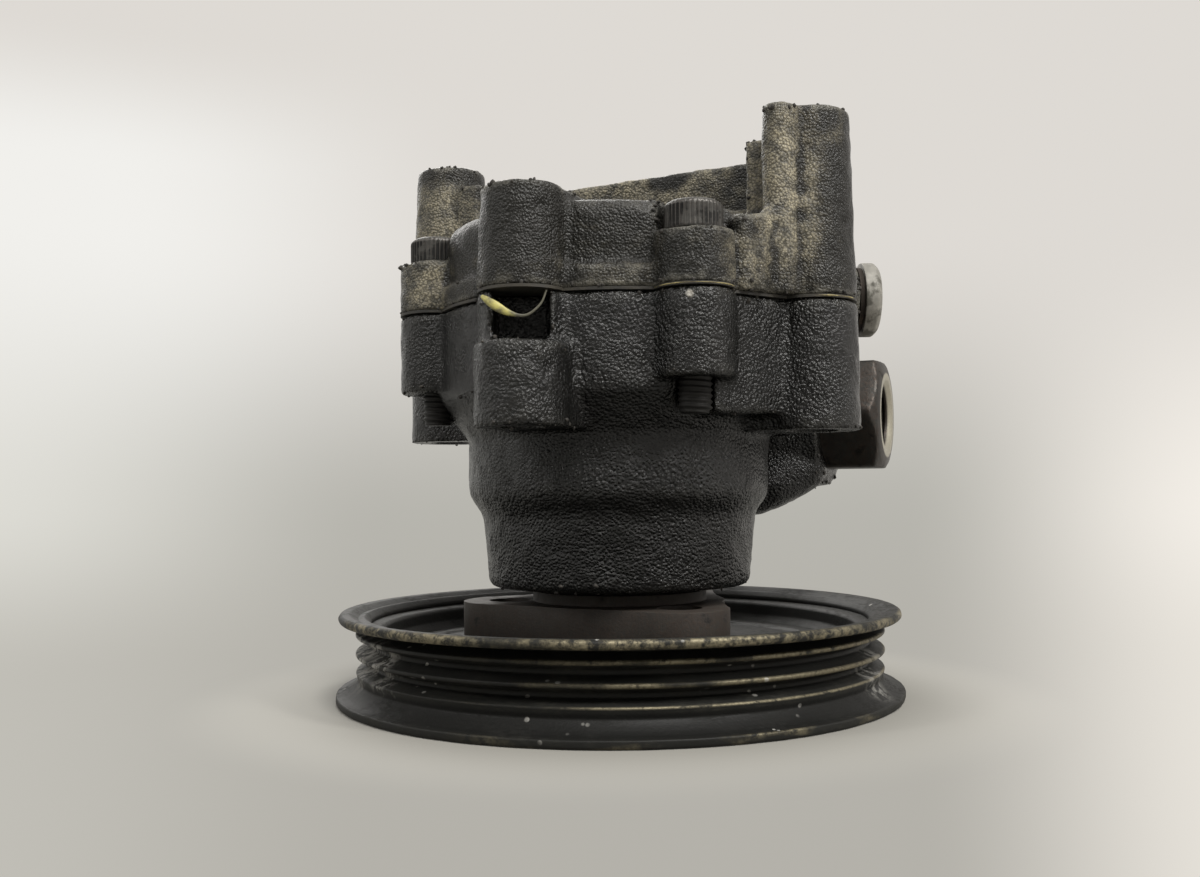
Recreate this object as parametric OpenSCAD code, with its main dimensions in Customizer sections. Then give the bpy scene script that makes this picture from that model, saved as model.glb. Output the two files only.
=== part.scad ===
// Vane-type power steering pump with its belt pulley, in millimetres.
// The origin is on the shaft axis, in the plane of the mounting lug faces.
// +Z runs along the shaft from the pulley to the rear cover, and -Y is the front.

/* [Mounting] */
// Diameter of the circle through the mounting holes
mount_pcd = 78; // [75:0.5:84]
// Angle of the right mounting hole about the shaft
mount_angle = -27; // [-30:0.5:-24]
// Diameter of the two through holes in the posts
mount_hole_d = 8.5; // [6.5:0.1:9.5]
// Diameter of the posts at their top
post_top_d = 14; // [12.5:0.1:15.5]
// Diameter of the posts where housing and cover meet
post_joint_d = 16; // [14.5:0.1:18]
// Diameter of the housing's mounting lugs at their face
lug_d = 17.4; // [15.5:0.1:19]
// Height of the posts above the joint of housing and cover
post_h = 33.3; // [32:0.1:36]
// Height of the round top of the posts above their webs
post_neck_h = 4.4; // [3:0.1:6]
// Length of the webs from the posts towards the shaft
post_web_len = 10.4; // [9.5:0.1:13]
// Angle of the third, tapped mounting boss
third_angle = -114; // [-117:0.5:-111]
// Diameter of the third boss
third_d = 15.4; // [14.4:0.1:17]
// Distance that the third boss is set back above its foot
third_back = 5.6; // [4.8:0.1:6.2]
// Tapped core diameter of the third boss
third_hole_d = 6.8; // [5:0.1:7.2]

/* [Front housing] */
// Diameter of the barrel around the pumping set
barrel_d = 69; // [66:0.5:74]
// Height of the barrel above the lug faces
housing_h = 22.7; // [22:0.1:25]
// Diameter of the cavity for the pumping set
cavity_d = 54; // [51:0.5:56]
// Length of the neck below the lug faces
neck_len = 28.4; // [27.4:0.1:32]
// Diameter at the free end of the neck
neck_end_d = 50.2; // [48:0.1:53]
// Diameter of the neck under its shoulder
neck_waist_d = 52.4; // [50:0.1:55]
// Diameter of the neck above its shoulder
neck_top_d = 57.8; // [56:0.1:62]
// Depth of the shoulder's lower end below the lug faces
shoulder_depth = 15.6; // [13:0.1:18]
// Height of the rounded shoulder
shoulder_h = 5.4; // [3:0.1:8]
// Height of the flared foot of the barrel
barrel_foot_h = 6.5; // [4:0.5:7]
// Floor of the open pocket in the third boss, above the lug faces
pocket_z = 14.4; // [11:0.1:17]
// Width of that pocket
pocket_w = 9.2; // [8.6:0.1:10]
// Depth of that pocket behind the middle of the boss
pocket_in = 0.5; // [0:0.1:1]

/* [Cover bolts] */
// Diameter of the circle through the cover bolts
bolt_pcd = 69; // [68:0.5:73]
// Thread diameter of the cover bolts
bolt_d = 6; // [5:0.1:6.5]
// Head diameter of the cover bolts
bolt_head_d = 10; // [9:0.1:11]
// Length of the cover bolts under the head
bolt_len = 30; // [27:0.5:34]
// Diameter of the bolt bosses
bolt_boss_d = 14; // [13:0.1:15]
// Underside of the bolt bosses above the lug faces
bolt_boss_z = 8; // [5:0.5:11]
// Height of the bolt head seats above the joint
bolt_seat_h = 9.1; // [8:0.1:10]

/* [Rear cover] */
// Thickness of the gasket
gasket_t = 0.5; // [0.3:0.1:1]
// Thickness of the cover's joint flange
cover_flange_t = 4; // [3:0.1:5]
// Diameter of the domed middle of the cover
dome_d = 66; // [62:0.5:68]
// Height of the dome above the joint
dome_h = 15.3; // [14:0.1:17]
// Height of the third boss on the cover above the joint
third_top_h = 17.2; // [16:0.1:19]
// Height of the raised inlet chamber above the joint
chamber_h = 30; // [28:0.1:31]
// Distance of the chamber's front wall behind the line of the posts
chamber_front = 10.7; // [9:0.1:12]
// Diameter that rounds off the back of the chamber
chamber_d = 76; // [72:0.5:80]
// Thickness of the chamber's front wall where it runs on alone
chamber_wall = 6; // [4:0.1:6.2]
// Core diameter of the tapped inlet
inlet_d = 16.5; // [12:0.1:18]
// Depth of the tapped inlet
inlet_depth = 14; // [10:0.5:15]

/* [Suction gallery] */
// Distance of the gallery behind the shaft
gallery_y = 28; // [26:0.5:30]
// Height of the gallery above the joint
gallery_h = 7.8; // [7.7:0.1:9]
// Diameter of the gallery drilling
gallery_d = 8; // [6:0.1:9]
// Distance of the gallery's outer face to the right of the shaft
gallery_x = 52; // [48:0.5:54]
// Diameter of the cast gallery arm
gallery_boss_d = 15; // [14:0.1:17]
// Diameter of the plug's collar
plug_collar_d = 16; // [14:0.1:18]
// Thickness of the plug's collar
plug_collar_t = 3.6; // [3:0.1:5]
// Thickness of the plug's washer
plug_washer_t = 1; // [0.8:0.1:1.5]

/* [Outlet and flow valve] */
// Direction of the outlet about the shaft
outlet_angle = -22; // [-25:0.5:-19]
// Distance of the valve's axis behind the shaft
valve_offset = 36; // [35.5:0.1:38]
// Height of the valve's axis above the lug faces
valve_z = 5; // [4:0.1:6]
// Distance of the outlet face along the valve's axis
valve_face = 34; // [32:0.5:36]
// Diameter of the valve bore
valve_d = 13; // [11:0.1:13.4]
// Diameter of the cast valve barrel
valve_barrel_d = 26; // [23:0.5:28]
// Diameter of the barrel at the outlet face
outlet_boss_d = 29; // [27:0.5:31]
// Diameter of the flare towards the neck
outlet_flare_d = 37; // [34:0.5:37.5]
// Thread diameter of the union
union_thread_d = 18; // [16:0.1:18.5]
// Length of the union's thread
union_thread_len = 12; // [10:0.5:13]
// Width of the union's hexagon across flats
union_af = 22; // [21:0.1:24]
// Length of the hexagon
union_hex_len = 12; // [9:0.5:15]
// Core diameter of the union's tapped bore
union_bore_d = 12.5; // [9:0.1:14]
// Length of the valve spool
spool_len = 24; // [20:0.5:25]
// Travel of the valve spool
spool_travel = 6; // [3:0.5:7]
// Wire diameter of the valve spring
spring_wire_d = 1.2; // [0.8:0.1:1.4]

/* [Shaft and bearing] */
// Shaft diameter in the bearing and the seal
shaft_d = 17; // [15:0.1:17.5]
// Shaft diameter in the drive flange
shaft_nose_d = 16; // [13:0.1:16.5]
// Diameter over the rotor spline
spline_d = 15; // [14.4:0.1:16]
// Height of the spline teeth
spline_tooth_h = 0.8; // [0.5:0.05:1]
// Diameter of the rear journal
journal_d = 13; // [11:0.1:13.2]
// Outer diameter of the bearing
bearing_od = 40; // [38:0.1:41]
// Width of the bearing
bearing_w = 12; // [11:0.1:12.6]
// Diameter of the bearing balls
ball_d = 6.75; // [6:0.05:7.1]
// Number of bearing balls
ball_count = 8; // [6:1:9]
// Outer diameter of the shaft seal
seal_od = 30; // [27:0.1:32]
// Width of the shaft seal
seal_w = 7; // [5:0.1:8]
// Outer diameter of the rear bush
bush_od = 17; // [15.6:0.1:18]
// Length of the rear bush
bush_len = 9; // [7:0.1:10]

/* [Pumping set] */
// Thickness of the front side plate
front_plate_t = 6; // [5.4:0.1:6.4]
// Width of the cam ring
cam_w = 13; // [12:0.1:13.4]
// Thickness of the rear side plate
rear_plate_t = 3.5; // [3:0.1:4]
// Small radius of the cam track
cam_minor_r = 20.5; // [20:0.1:21]
// Extra radius of the cam track at its two lobes
cam_lift = 2.5; // [1:0.1:3]
// Diameter of the dowel pins
dowel_d = 3; // [2:0.1:3.4]
// Thickness of a vane
vane_t = 1.6; // [1.2:0.05:2]
// Radial height of a vane
vane_h = 8; // [7:0.1:8.2]
// Inward travel of a vane from its rest
vane_in = 0.6; // [0.4:0.05:0.9]
// Gap between a vane at rest and the small radius of the cam
vane_tip_gap = 0.3; // [0.25:0.05:0.4]

/* [Drive flange and pulley] */
// Gap between the neck and the drive flange
flange_gap = 3; // [2:0.1:4]
// Thickness of the drive flange
flange_t = 8.1; // [7:0.1:9]
// Diameter of the flange's raised hub
flange_hub_d = 33.6; // [28:0.1:34]
// Height of that hub
flange_hub_h = 2; // [1:0.1:2]
// Diameter of the circle through the pulley bolts
pulley_bolt_pcd = 42.6; // [41:0.1:45]
// Diameter of the flange's lobes
flange_lobe_d = 18; // [17:0.1:19]
// Thread diameter of the pulley bolts
pulley_bolt_d = 8; // [6:0.1:8.5]
// Diameter of the centring spigot
spigot_d = 24; // [21:0.1:25]
// Thickness of the pulley's web
web_t = 2.5; // [2:0.1:3.5]
// Height of the web's lower face above the pulley's lower edge
web_z = 7; // [6:0.1:8]
// Diameter over the pulley's ribs
rib_d = 100.4; // [98:0.1:102]
// Distance from groove to groove
rib_pitch = 3.56; // [3.4:0.01:3.65]
// Depth of the grooves
groove_depth = 2.9; // [2.3:0.05:3.2]
// Number of grooves
groove_count = 3; // [2:1:3]
// Diameter of the upper rim
upper_rim_d = 106.6; // [104:0.1:109]
// Diameter of the lower rim
lower_rim_d = 107.8; // [105:0.1:110]
// Sheet thickness behind the grooves
pulley_wall = 2.4; // [2:0.1:3]

/* [Hidden] */
$fn = 96;
over = 1;
under = 2;

// Clearances
fit = 0.02;
run = 0.05;
slide = 0.02;
thread_gap = 0.02;
free = 0.5;
bolt_hole_gap = 0.3;
spot_gap = 1;
end_gap = 0.05;
cord_gap = 0.05;
groove_gap = 0.1;

// Angles of the cover bolts about the shaft
bolt_angles = [14, 125, 189, 291.8];
mount_angles = [mount_angle, mount_angle + 180];

// Walls between the bosses, and how far their ends stay inside the bosses' middles
wall_t = 8;
wall_inset = 2;

// A radius that clears both castings
reach_r = mount_pcd;

// Middle of the third boss, at its foot and above it
third_foot = polar(mount_pcd / 2, third_angle);
third_mid = third_foot + [0, third_back];

// Heights of the castings
cover_z = housing_h + gasket_t;
seat_z = cover_z + bolt_seat_h;
third_z = cover_z + third_top_h;
bolt_tip_z = seat_z - bolt_len;
bolt_head_h = bolt_d - 1;

// Heights of the pumping set, stacked down from the cover
rear_plate_z = cover_z - rear_plate_t;
cam_z = rear_plate_z - cam_w;
cavity_z = cam_z - front_plate_t;
rotor_z = cam_z + run;
rotor_h = cam_w - 2 * run;
rotor_gap = 0.15;
rotor_r = cam_minor_r - rotor_gap;
vane_count = 10;
vane_tip_r = cam_minor_r - vane_tip_gap;
vane_root_r = vane_tip_r - vane_h;
slot_bottom_r = vane_root_r - vane_in - groove_gap;
slot_w = vane_t + 2 * slide;
plate_d = cavity_d - 2 * run;
dowel_r = cavity_d / 4 + cam_minor_r / 2;
dowel_angles = [90, 270];
dowel_in_plate = 1.5;
dowel_in_cover = 3;
plate_bore_d = spline_d + 2 * free;
suction_angles = [140, 320];
pressure_angles = [40, 220];
port_span = 44;
port_w = 3.2;
port_r = cam_minor_r - 2.5;
port_depth = 2;
oring_d = 2.4;
oring_groove_w = 2.8;
oring_lift = 2.4;
oring_r = (plate_d - oring_d) / 2;

// Heights in the neck, from its free end up
neck_z = -neck_len;
circlip_t = 1.4;
neck_lip = 1;
bearing_z = neck_z + neck_lip + circlip_t;
bearing_top_z = bearing_z + bearing_w;
shaft_collar_t = 1;
shaft_collar_d = shaft_d + 4;
seal_gap = 1;
seal_z = bearing_top_z + shaft_collar_t + seal_gap;
seal_top_z = seal_z + seal_w;
circlip_bite = 0.9;
circlip_w = 2.6;
shaft_circlip_t = 1;

// The bearing's rings and track
ball_track_r = (bearing_od + shaft_d) / 4;
track_gap = 0.12;
ring_land = 2.8;
cage_t = 1.8;
cage_h = ball_d + 1.6;

// Drive flange and pulley, stacked down from the neck
flange_top_z = neck_z - flange_gap;
hub_top_z = flange_top_z + flange_hub_h;
web_top_z = flange_top_z - flange_t;
pulley_z = web_top_z - web_t - web_z;
shaft_nose_z = web_top_z - web_t;
flange_angles = [60, 180, 300];
lobe_r = pulley_bolt_pcd / 2;
pulley_bolt_head_h = 5.3;
pulley_bolt_af = 13;
pulley_bolt_len = web_t + flange_t - 1;
spigot_short = 0.3;

// Pulley outline, from its lower edge up
rib_r = rib_d / 2;
groove_r = rib_r - groove_depth;
rib_tip_w = 0.6;
groove_flank = 20;
groove_open = rib_pitch - rib_tip_w;
groove_floor = groove_open - 2 * groove_depth * tan(groove_flank);
lower_shoulder_z = 4;
lower_edge_t = 1.6;
upper_edge_t = 1.1;
upper_lip_rise = 1.7;
groove_top_z = lower_shoulder_z + groove_count * rib_pitch;
upper_rim_z = groove_top_z + upper_lip_rise - upper_edge_t;
pulley_h = upper_rim_z + upper_edge_t;
well_r = groove_r - pulley_wall;

// Rear journal and bush
bush_z = cover_z + free;
bush_top_z = bush_z + bush_len;
journal_top_z = bush_top_z - free;
rotor_recess_d = spline_d + 6;
rotor_recess_h = 2.4;
rotor_circlip_t = 1.2;
rotor_circlip_bite = 0.55;
rotor_circlip_z = rotor_z + rotor_h - rotor_recess_h;
spline_teeth = 12;
spline_tooth_w = 1.8;

// Flow valve, measured along its axis
union_inner = valve_face - union_thread_len;
spring_room = 8;
bore_end = union_inner - spool_len - spool_travel - spring_room;
spool_seat = union_inner - end_gap;
spool_end = spool_seat - spool_len;
spool_recess = 8;
spool_wall = 1.6;
spring_seat = spool_end + spool_recess;
spring_gap = 0.4;
spring_r = valve_d / 2 - spool_wall - spring_wire_d / 2 - spring_gap;
spring_turns = 6;
spring_sides = 7;
spring_steps = 14;
union_oring_d = 1.8;
union_groove_w = 2.2;
union_groove_lip = 1;
union_seat_d = valve_d - 5;
union_bore_depth = 2;
flare_len = 14;
face_rim = 2;
valve_end_wall = 4;
valve_drill_d = 4;
valve_drill_in = 5;

// Suction gallery
gallery_z = cover_z + gallery_h;
gallery_in = 18;
plug_thread_d = gallery_d + 1.5;
plug_thread_len = 9;
plug_socket_af = 5;
plug_chamfer = 1;

// Tapped inlet, measured from the chamber's front wall
inlet_side = 2;
inlet_back = 13.5;
inlet_drill_d = 8;
inlet_drill_shift = 3;

// Where the cover is drawn in pieces: inside the posts' webs, beside the posts, and under the inlet's bore
post_cut_in = mount_pcd / 2 - post_web_len - 0.4;
post_cut_out = post_cut_in + 6.4;
post_cut_side = 12;
post_cut_back = 20;
inlet_cut_front = 4;
inlet_floor_z = cover_z + chamber_h - inlet_depth;

function vane_name(i) = str("vane_", i < 10 ? "0" : "", i);
function vane_angle(i) = (i - 0.5) * 360 / vane_count;
function polar(r, a) = [r * cos(a), r * sin(a)];
// Height share along a smooth S from 0 to 1
function smooth(t) = (1 - cos(180 * t)) / 2;

// An upright block between two plan corners, given in a frame turned about the shaft
module block(angle, from, to, z, h) {
    along = polar(1, angle);
    across = polar(1, angle + 90);
    translate([0, 0, z]) linear_extrude(h) polygon([
        for (c = [[from.x, from.y], [to.x, from.y], to, [from.x, to.y]]) c.x * along + c.y * across]);
}

// A boss of round plan with a straight-sided root that reaches in to the shaft axis
module lobe(angle, reach, d_low, d_high, z_low, z_high) {
    root_w = min(d_low, d_high) - 1;
    around([angle], reach) translate([0, 0, z_low]) cylinder(d1 = d_low, d2 = d_high, h = z_high - z_low);
    block(angle, [0, -root_w / 2], [reach, root_w / 2], z_low, z_high - z_low);
}

// An upright wall of thickness t between two plan points
module strut(p, q, t, z_low, z_high) {
    along = q - p;
    side = polar(t / 2, atan2(along.y, along.x) + 90);
    translate([0, 0, z_low]) linear_extrude(z_high - z_low)
        polygon([p - side, q - side, q + side, p + side]);
}

// Places children at the polar points of a hole circle
module around(angles, r) {
    for (a = angles) translate(polar(r, a)) children();
}

// Places children on the valve's axis, their +Z along the outlet's direction
module at_valve(s) {
    rotate([0, 0, outlet_angle]) translate([s, valve_offset, valve_z]) rotate([0, 90, 0]) children();
}

// Places children on the gallery's axis, their +Z towards the right
module at_gallery(x) {
    translate([x, gallery_y, gallery_z]) rotate([0, 90, 0]) children();
}

// A ring with a rectangular section
module ring(r_in, r_out, h) {
    rotate_extrude() translate([r_in, 0]) square([r_out - r_in, h]);
}

// A round cord bent to a ring
module o_ring(r, d) {
    rotate_extrude() translate([r, 0]) circle(d = d, $fn = 24);
}

// A sprung ring with a gap between two eyes
module circlip(r_in, r_out, h, gap) {
    rotate([0, 0, gap / 2]) rotate_extrude(angle = 360 - gap)
        translate([r_in, 0]) square([r_out - r_in, h]);
}

// A hexagon bar measured across its flats
module hexagon(af, h) {
    cylinder(d = af / cos(30), h = h, $fn = 6);
}

// The outline that housing, gasket and cover share at their joint, as a plate
module joint_plate(z, t) {
    low = z - over;
    high = z + t + over;
    intersection() {
        translate([0, 0, z]) cylinder(r = reach_r, h = t);
        union() {
            translate([0, 0, low]) cylinder(d = barrel_d, h = high - low);
            for (a = mount_angles) lobe(a, mount_pcd / 2, post_joint_d, post_joint_d, low, high);
            third_boss(third_d, low, high);
            for (a = bolt_angles) lobe(a, bolt_pcd / 2, bolt_boss_d, bolt_boss_d, low, high);
            left_wall(low, high);
            right_wall(low, high);
        }
    }
}

// The third boss above its foot
module third_boss(d_high, z_low, z_high) {
    lobe(atan2(third_mid.y, third_mid.x), norm(third_mid), third_d, d_high, z_low, z_high);
}

// The low wall that ties the left bolt boss to the third boss
module left_wall(low, high) {
    strut(polar(bolt_pcd / 2 - wall_inset, bolt_angles[2]), third_mid, wall_t, low, high);
}

// The wall that ties the front bolt boss to the right post
module right_wall(low, high) {
    strut(polar(bolt_pcd / 2 - wall_inset, bolt_angles[3]), polar(mount_pcd / 2 - wall_inset, mount_angle),
        wall_t, low, high);
}

// Neck and barrel in section
module housing_section() {
    chamfer = 0.8;
    foot_start = -0.5;
    shoulder = [for (t = [0 : 0.2 : 1]) [
        neck_waist_d / 2 + (neck_top_d - neck_waist_d) / 2 * smooth(t),
        -shoulder_depth + shoulder_h * t]];
    polygon(concat(
        [[0, neck_z], [neck_end_d / 2 - chamfer, neck_z], [neck_end_d / 2, neck_z + chamfer]],
        shoulder,
        [[neck_top_d / 2, foot_start], [barrel_d / 2, barrel_foot_h],
            [barrel_d / 2, housing_h + over], [0, housing_h + over]]));
}

// Cast outside of the valve barrel, with its flare towards the neck
module valve_barrel() {
    rim_len = face_rim + free;
    at_valve(bore_end - valve_end_wall) cylinder(d = valve_barrel_d, h = valve_face - bore_end);
    at_valve(valve_face - face_rim - flare_len)
        cylinder(d1 = outlet_flare_d, d2 = outlet_boss_d, h = flare_len);
    at_valve(valve_face - rim_len) cylinder(d = outlet_boss_d, h = rim_len);
}

module front_housing() {
    draft = 0.4;
    foot_step = 0.6;
    wall_foot = 2.5;
    wall_lip = 4.5;
    shaft_hole_d = shaft_d + 2 * free;
    hole_h = housing_h + 2 * over;
    top = housing_h + over;
    color("#2a2825") difference() {
        union() {
            rotate_extrude() housing_section();
            for (a = mount_angles) lobe(a, mount_pcd / 2, lug_d, post_joint_d, 0, top);
            lobe(third_angle, mount_pcd / 2, third_d + draft, third_d, 0, pocket_z - foot_step);
            third_boss(third_d, foot_step, top);
            for (a = bolt_angles) lobe(a, bolt_pcd / 2, bolt_boss_d, bolt_boss_d, bolt_boss_z, top);
            left_wall(housing_h - wall_lip, top);
            right_wall(wall_foot, top);
            valve_barrel();
        }
        // Joint face
        translate([0, 0, housing_h]) cylinder(r = reach_r, h = 2 * over);
        // Cavity, shaft passage, seal seat, bearing seat and circlip groove
        translate([0, 0, cavity_z]) cylinder(d = cavity_d, h = housing_h);
        translate([0, 0, bearing_z]) cylinder(d = shaft_hole_d, h = cavity_z - bearing_z + over);
        translate([0, 0, bearing_z]) cylinder(d = seal_od + 2 * fit, h = seal_top_z - bearing_z);
        translate([0, 0, neck_z - over])
            cylinder(d = bearing_od + 2 * fit, h = bearing_top_z - neck_z + over);
        translate([0, 0, bearing_z - circlip_t])
            cylinder(r = bearing_od / 2 + circlip_bite + groove_gap, h = circlip_t);
        // Mounting holes and the pocket above the tapped one
        translate([0, 0, -over]) around(mount_angles, mount_pcd / 2) cylinder(d = mount_hole_d, h = hole_h);
        translate([0, 0, -over]) around([third_angle], mount_pcd / 2)
            cylinder(d = third_hole_d, h = pocket_z + 2 * over);
        translate([third_mid.x - pocket_w / 2, third_mid.y + pocket_in - 2 * third_d, pocket_z])
            cube([pocket_w, 2 * third_d, housing_h]);
        // Tapped holes for the cover bolts
        translate([0, 0, bolt_tip_z - over]) around(bolt_angles, bolt_pcd / 2)
            cylinder(d = bolt_d + 2 * thread_gap, h = housing_h);
        // Flow valve bore, union thread and the drilling from the cavity
        at_valve(bore_end) cylinder(d = valve_d, h = valve_face - bore_end);
        at_valve(union_inner) cylinder(d = union_thread_d + 2 * thread_gap, h = union_thread_len + over);
        rotate([0, 0, outlet_angle]) translate([union_inner - valve_drill_in, 0, valve_z])
            rotate([-90, 0, 0]) cylinder(d = valve_drill_d, h = valve_offset);
    }
}

// Torn edge of the gasket that hangs in a bow across the pocket, thick at its left end
module gasket_strand() {
    steps = 12;
    sides = 8;
    sag = 3.6;
    thick_r = 0.95;
    thin_r = 0.45;
    inset = 2;
    hang_y = third_mid.y - third_d / 2 + inset;
    span = pocket_w - 2 * slide;
    function strand_r(t) = thick_r + (thin_r - thick_r) * smooth(t);
    function bow(t) = [third_mid.x + span * (t - 0.5), hang_y,
        housing_h - strand_r(t) - sag * sin(180 * t)];
    function rim(t, j) = bow(t) + strand_r(t) * [0, -cos(360 * j / sides), sin(360 * j / sides)];
    function at(k, j) = k * sides + j % sides;
    points = [for (k = [0 : steps]) for (j = [0 : sides - 1]) rim(k / steps, j)];
    skin = [for (k = [0 : steps - 1]) for (j = [0 : sides - 1])
        [at(k, j), at(k + 1, j), at(k + 1, j + 1), at(k, j + 1)]];
    first_end = [for (j = [0 : sides - 1]) at(0, j)];
    last_end = [for (j = [sides - 1 : -1 : 0]) at(steps, j)];
    color("#d8c878") polyhedron(points, concat(skin, [first_end, last_end]));
}

module cover_gasket() {
    color("#c9b98a") difference() {
        joint_plate(housing_h, gasket_t);
        translate([0, 0, housing_h - over]) cylinder(d = cavity_d + 2 * free, h = gasket_t + 2 * over);
        translate([0, 0, housing_h - over]) around(mount_angles, mount_pcd / 2)
            cylinder(d = mount_hole_d, h = gasket_t + 2 * over);
        translate([0, 0, housing_h - over]) around(bolt_angles, bolt_pcd / 2)
            cylinder(d = bolt_d + 2 * bolt_hole_gap, h = gasket_t + 2 * over);
    }
}

// The raised inlet chamber and its front wall, which runs from web to web between the posts
module inlet_chamber() {
    chamber_left = -18;
    chamber_right = 20;
    wall_end = mount_pcd / 2 - post_web_len / 2;
    ledge_w = 11;
    ledge_h = 18.3;
    front = chamber_front + chamber_wall / 2;
    h = chamber_h + under;
    intersection() {
        translate([0, 0, cover_z - under]) cylinder(d = chamber_d, h = h);
        block(mount_angle, [chamber_left, front], [chamber_right, chamber_d],
            cover_z - 2 * under, h + 2 * under);
    }
    block(mount_angle, [-wall_end, chamber_front], [wall_end, chamber_front + chamber_wall],
        cover_z - under, h);
    block(mount_angle, [wall_end - ledge_w, 0], [wall_end, front], cover_z - under, ledge_h + under);
}

// A mounting post: a round column with a web towards the shaft and back to the chamber wall
module post(angle, side) {
    post_r = mount_pcd / 2;
    web_in = post_r - post_web_len;
    web_inset = 1.4;
    back_inset = 2;
    back_step = 0.4;
    web_h = post_h - post_neck_h + under;
    web_front = post_top_d / 2 - web_inset;
    back = side * (chamber_front + chamber_wall / 2);
    z = cover_z - under;
    around([angle], post_r) translate([0, 0, z])
        cylinder(d1 = post_joint_d, d2 = post_top_d, h = post_h + under);
    block(angle, [web_in, -web_front], [post_r, web_front], z, web_h);
    block(angle, [web_in + back_step, min(0, back)], [post_r - back_inset, max(0, back)], z, web_h);
}

// Domed middle of the cover, with a rounded top edge
module cover_dome() {
    edge = 3;
    edge_arc = [for (a = [0 : 22.5 : 90])
        [dome_d / 2 - edge + edge * cos(a), dome_h - edge + edge * sin(a)]];
    translate([0, 0, cover_z]) rotate_extrude()
        polygon(concat([[0, -under], [dome_d / 2, -under]], edge_arc, [[0, dome_h]]));
}

// The whole cover casting, without the inlet's bore
module cover_casting() {
    boss_draft = 0.4;
    third_draft = 1.2;
    hole_h = post_h + 2 * over;
    arm_root = gallery_in - 4;
    low = cover_z - under;
    seat_rim = 0.3;
    difference() {
        union() {
            joint_plate(low, cover_flange_t + under);
            cover_dome();
            post(mount_angles[0], 1);
            post(mount_angles[1], -1);
            third_boss(third_d - third_draft, low, third_z);
            for (a = bolt_angles)
                lobe(a, bolt_pcd / 2, bolt_boss_d, bolt_boss_d - boss_draft, low, seat_z + seat_rim);
            right_wall(low, seat_z - 1);
            inlet_chamber();
            at_gallery(arm_root) cylinder(d = gallery_boss_d, h = gallery_x - arm_root);
        }
        // Joint face
        translate([0, 0, cover_z - gallery_boss_d]) cylinder(r = reach_r, h = gallery_boss_d);
        // Mounting holes, bolt holes and the clear space over the bolt seats
        translate([0, 0, cover_z - over]) around(mount_angles, mount_pcd / 2)
            cylinder(d = mount_hole_d, h = hole_h);
        translate([0, 0, cover_z - over]) around(bolt_angles, bolt_pcd / 2)
            cylinder(d = bolt_d + 2 * bolt_hole_gap, h = post_h);
        translate([0, 0, seat_z]) around(bolt_angles, bolt_pcd / 2)
            cylinder(d = bolt_head_d + 2 * spot_gap, h = post_h);
        // Bush seat and dowel holes
        translate([0, 0, cover_z - over])
            cylinder(d = bush_od + 2 * fit, h = bush_top_z - cover_z + over + free);
        translate([0, 0, cover_z - over]) around(dowel_angles, dowel_r)
            cylinder(d = dowel_d + 2 * fit, h = dowel_in_cover + over + free);
        // Drilling from the inlet to the pumping set
        at_inlet(-inlet_drill_shift) translate([0, 0, cover_z - over])
            cylinder(d = inlet_drill_d, h = inlet_floor_z - cover_z + 2 * over);
        // Suction gallery with the seat of its plug
        at_gallery(gallery_in) cylinder(d = gallery_d, h = gallery_x);
        at_gallery(gallery_x - plug_thread_len - free)
            cylinder(d = plug_thread_d + 2 * thread_gap, h = gallery_x);
    }
}

// Places children on the inlet's axis, moved back by a shift
module at_inlet(shift) {
    translate(inlet_side * polar(1, mount_angle)
        + (chamber_front + inlet_back + shift) * polar(1, mount_angle + 90)) children();
}

// The space of one post's piece, on the side given by 1 or -1
module post_space(side) {
    far = side * reach_r;
    near = side * post_cut_in;
    back_near = side * post_cut_out;
    low = cover_z - over;
    h = post_h + 2 * over;
    block(mount_angle, [min(near, far), -post_cut_side], [max(near, far), post_cut_side], low, h);
    block(mount_angle, [min(back_near, far), 0], [max(back_near, far), post_cut_back], low, h);
}

// The space of the inlet's piece, over the floor of its bore
module inlet_space() {
    block(mount_angle, [-reach_r, inlet_cut_front], [reach_r, reach_r], inlet_floor_z, chamber_h);
}

module rear_cover() {
    color("#5c574c") difference() {
        cover_casting();
        post_space(1);
        post_space(-1);
        inlet_space();
    }
}

module inlet_block() {
    color("#5c574c") difference() {
        intersection() {
            cover_casting();
            inlet_space();
        }
        post_space(1);
        post_space(-1);
        at_inlet(0) translate([0, 0, inlet_floor_z - over]) cylinder(d = inlet_d, h = inlet_depth + 2 * over);
    }
}

module cover_right_post() {
    color("#5c574c") intersection() {
        cover_casting();
        post_space(1);
    }
}

module cover_left_post() {
    color("#5c574c") intersection() {
        cover_casting();
        post_space(-1);
    }
}

module cover_bolts() {
    color("#3b3836") translate([0, 0, seat_z]) around(bolt_angles, bolt_pcd / 2) difference() {
        union() {
            translate([0, 0, -bolt_len]) cylinder(d = bolt_d, h = bolt_len + over);
            cylinder(d = bolt_head_d, h = bolt_head_h);
        }
        translate([0, 0, bolt_head_h / 2]) hexagon(bolt_d - 1, bolt_head_h);
    }
}

module bearing_outer_ring() {
    color("#8f8f8d") translate([0, 0, bearing_z]) rotate_extrude() difference() {
        translate([bearing_od / 2 - ring_land, 0]) square([ring_land, bearing_w]);
        translate([ball_track_r, bearing_w / 2]) circle(d = ball_d + 2 * track_gap);
    }
}

module bearing_inner_ring() {
    color("#8f8f8d") translate([0, 0, bearing_z]) rotate_extrude() difference() {
        translate([shaft_d / 2 + fit, 0]) square([ring_land, bearing_w]);
        translate([ball_track_r, bearing_w / 2]) circle(d = ball_d + 2 * track_gap);
    }
}

module bearing_balls() {
    color("#b9b9b6") translate([0, 0, bearing_z + bearing_w / 2])
        around([for (i = [0 : ball_count - 1]) i * 360 / ball_count], ball_track_r) sphere(d = ball_d);
}

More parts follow.
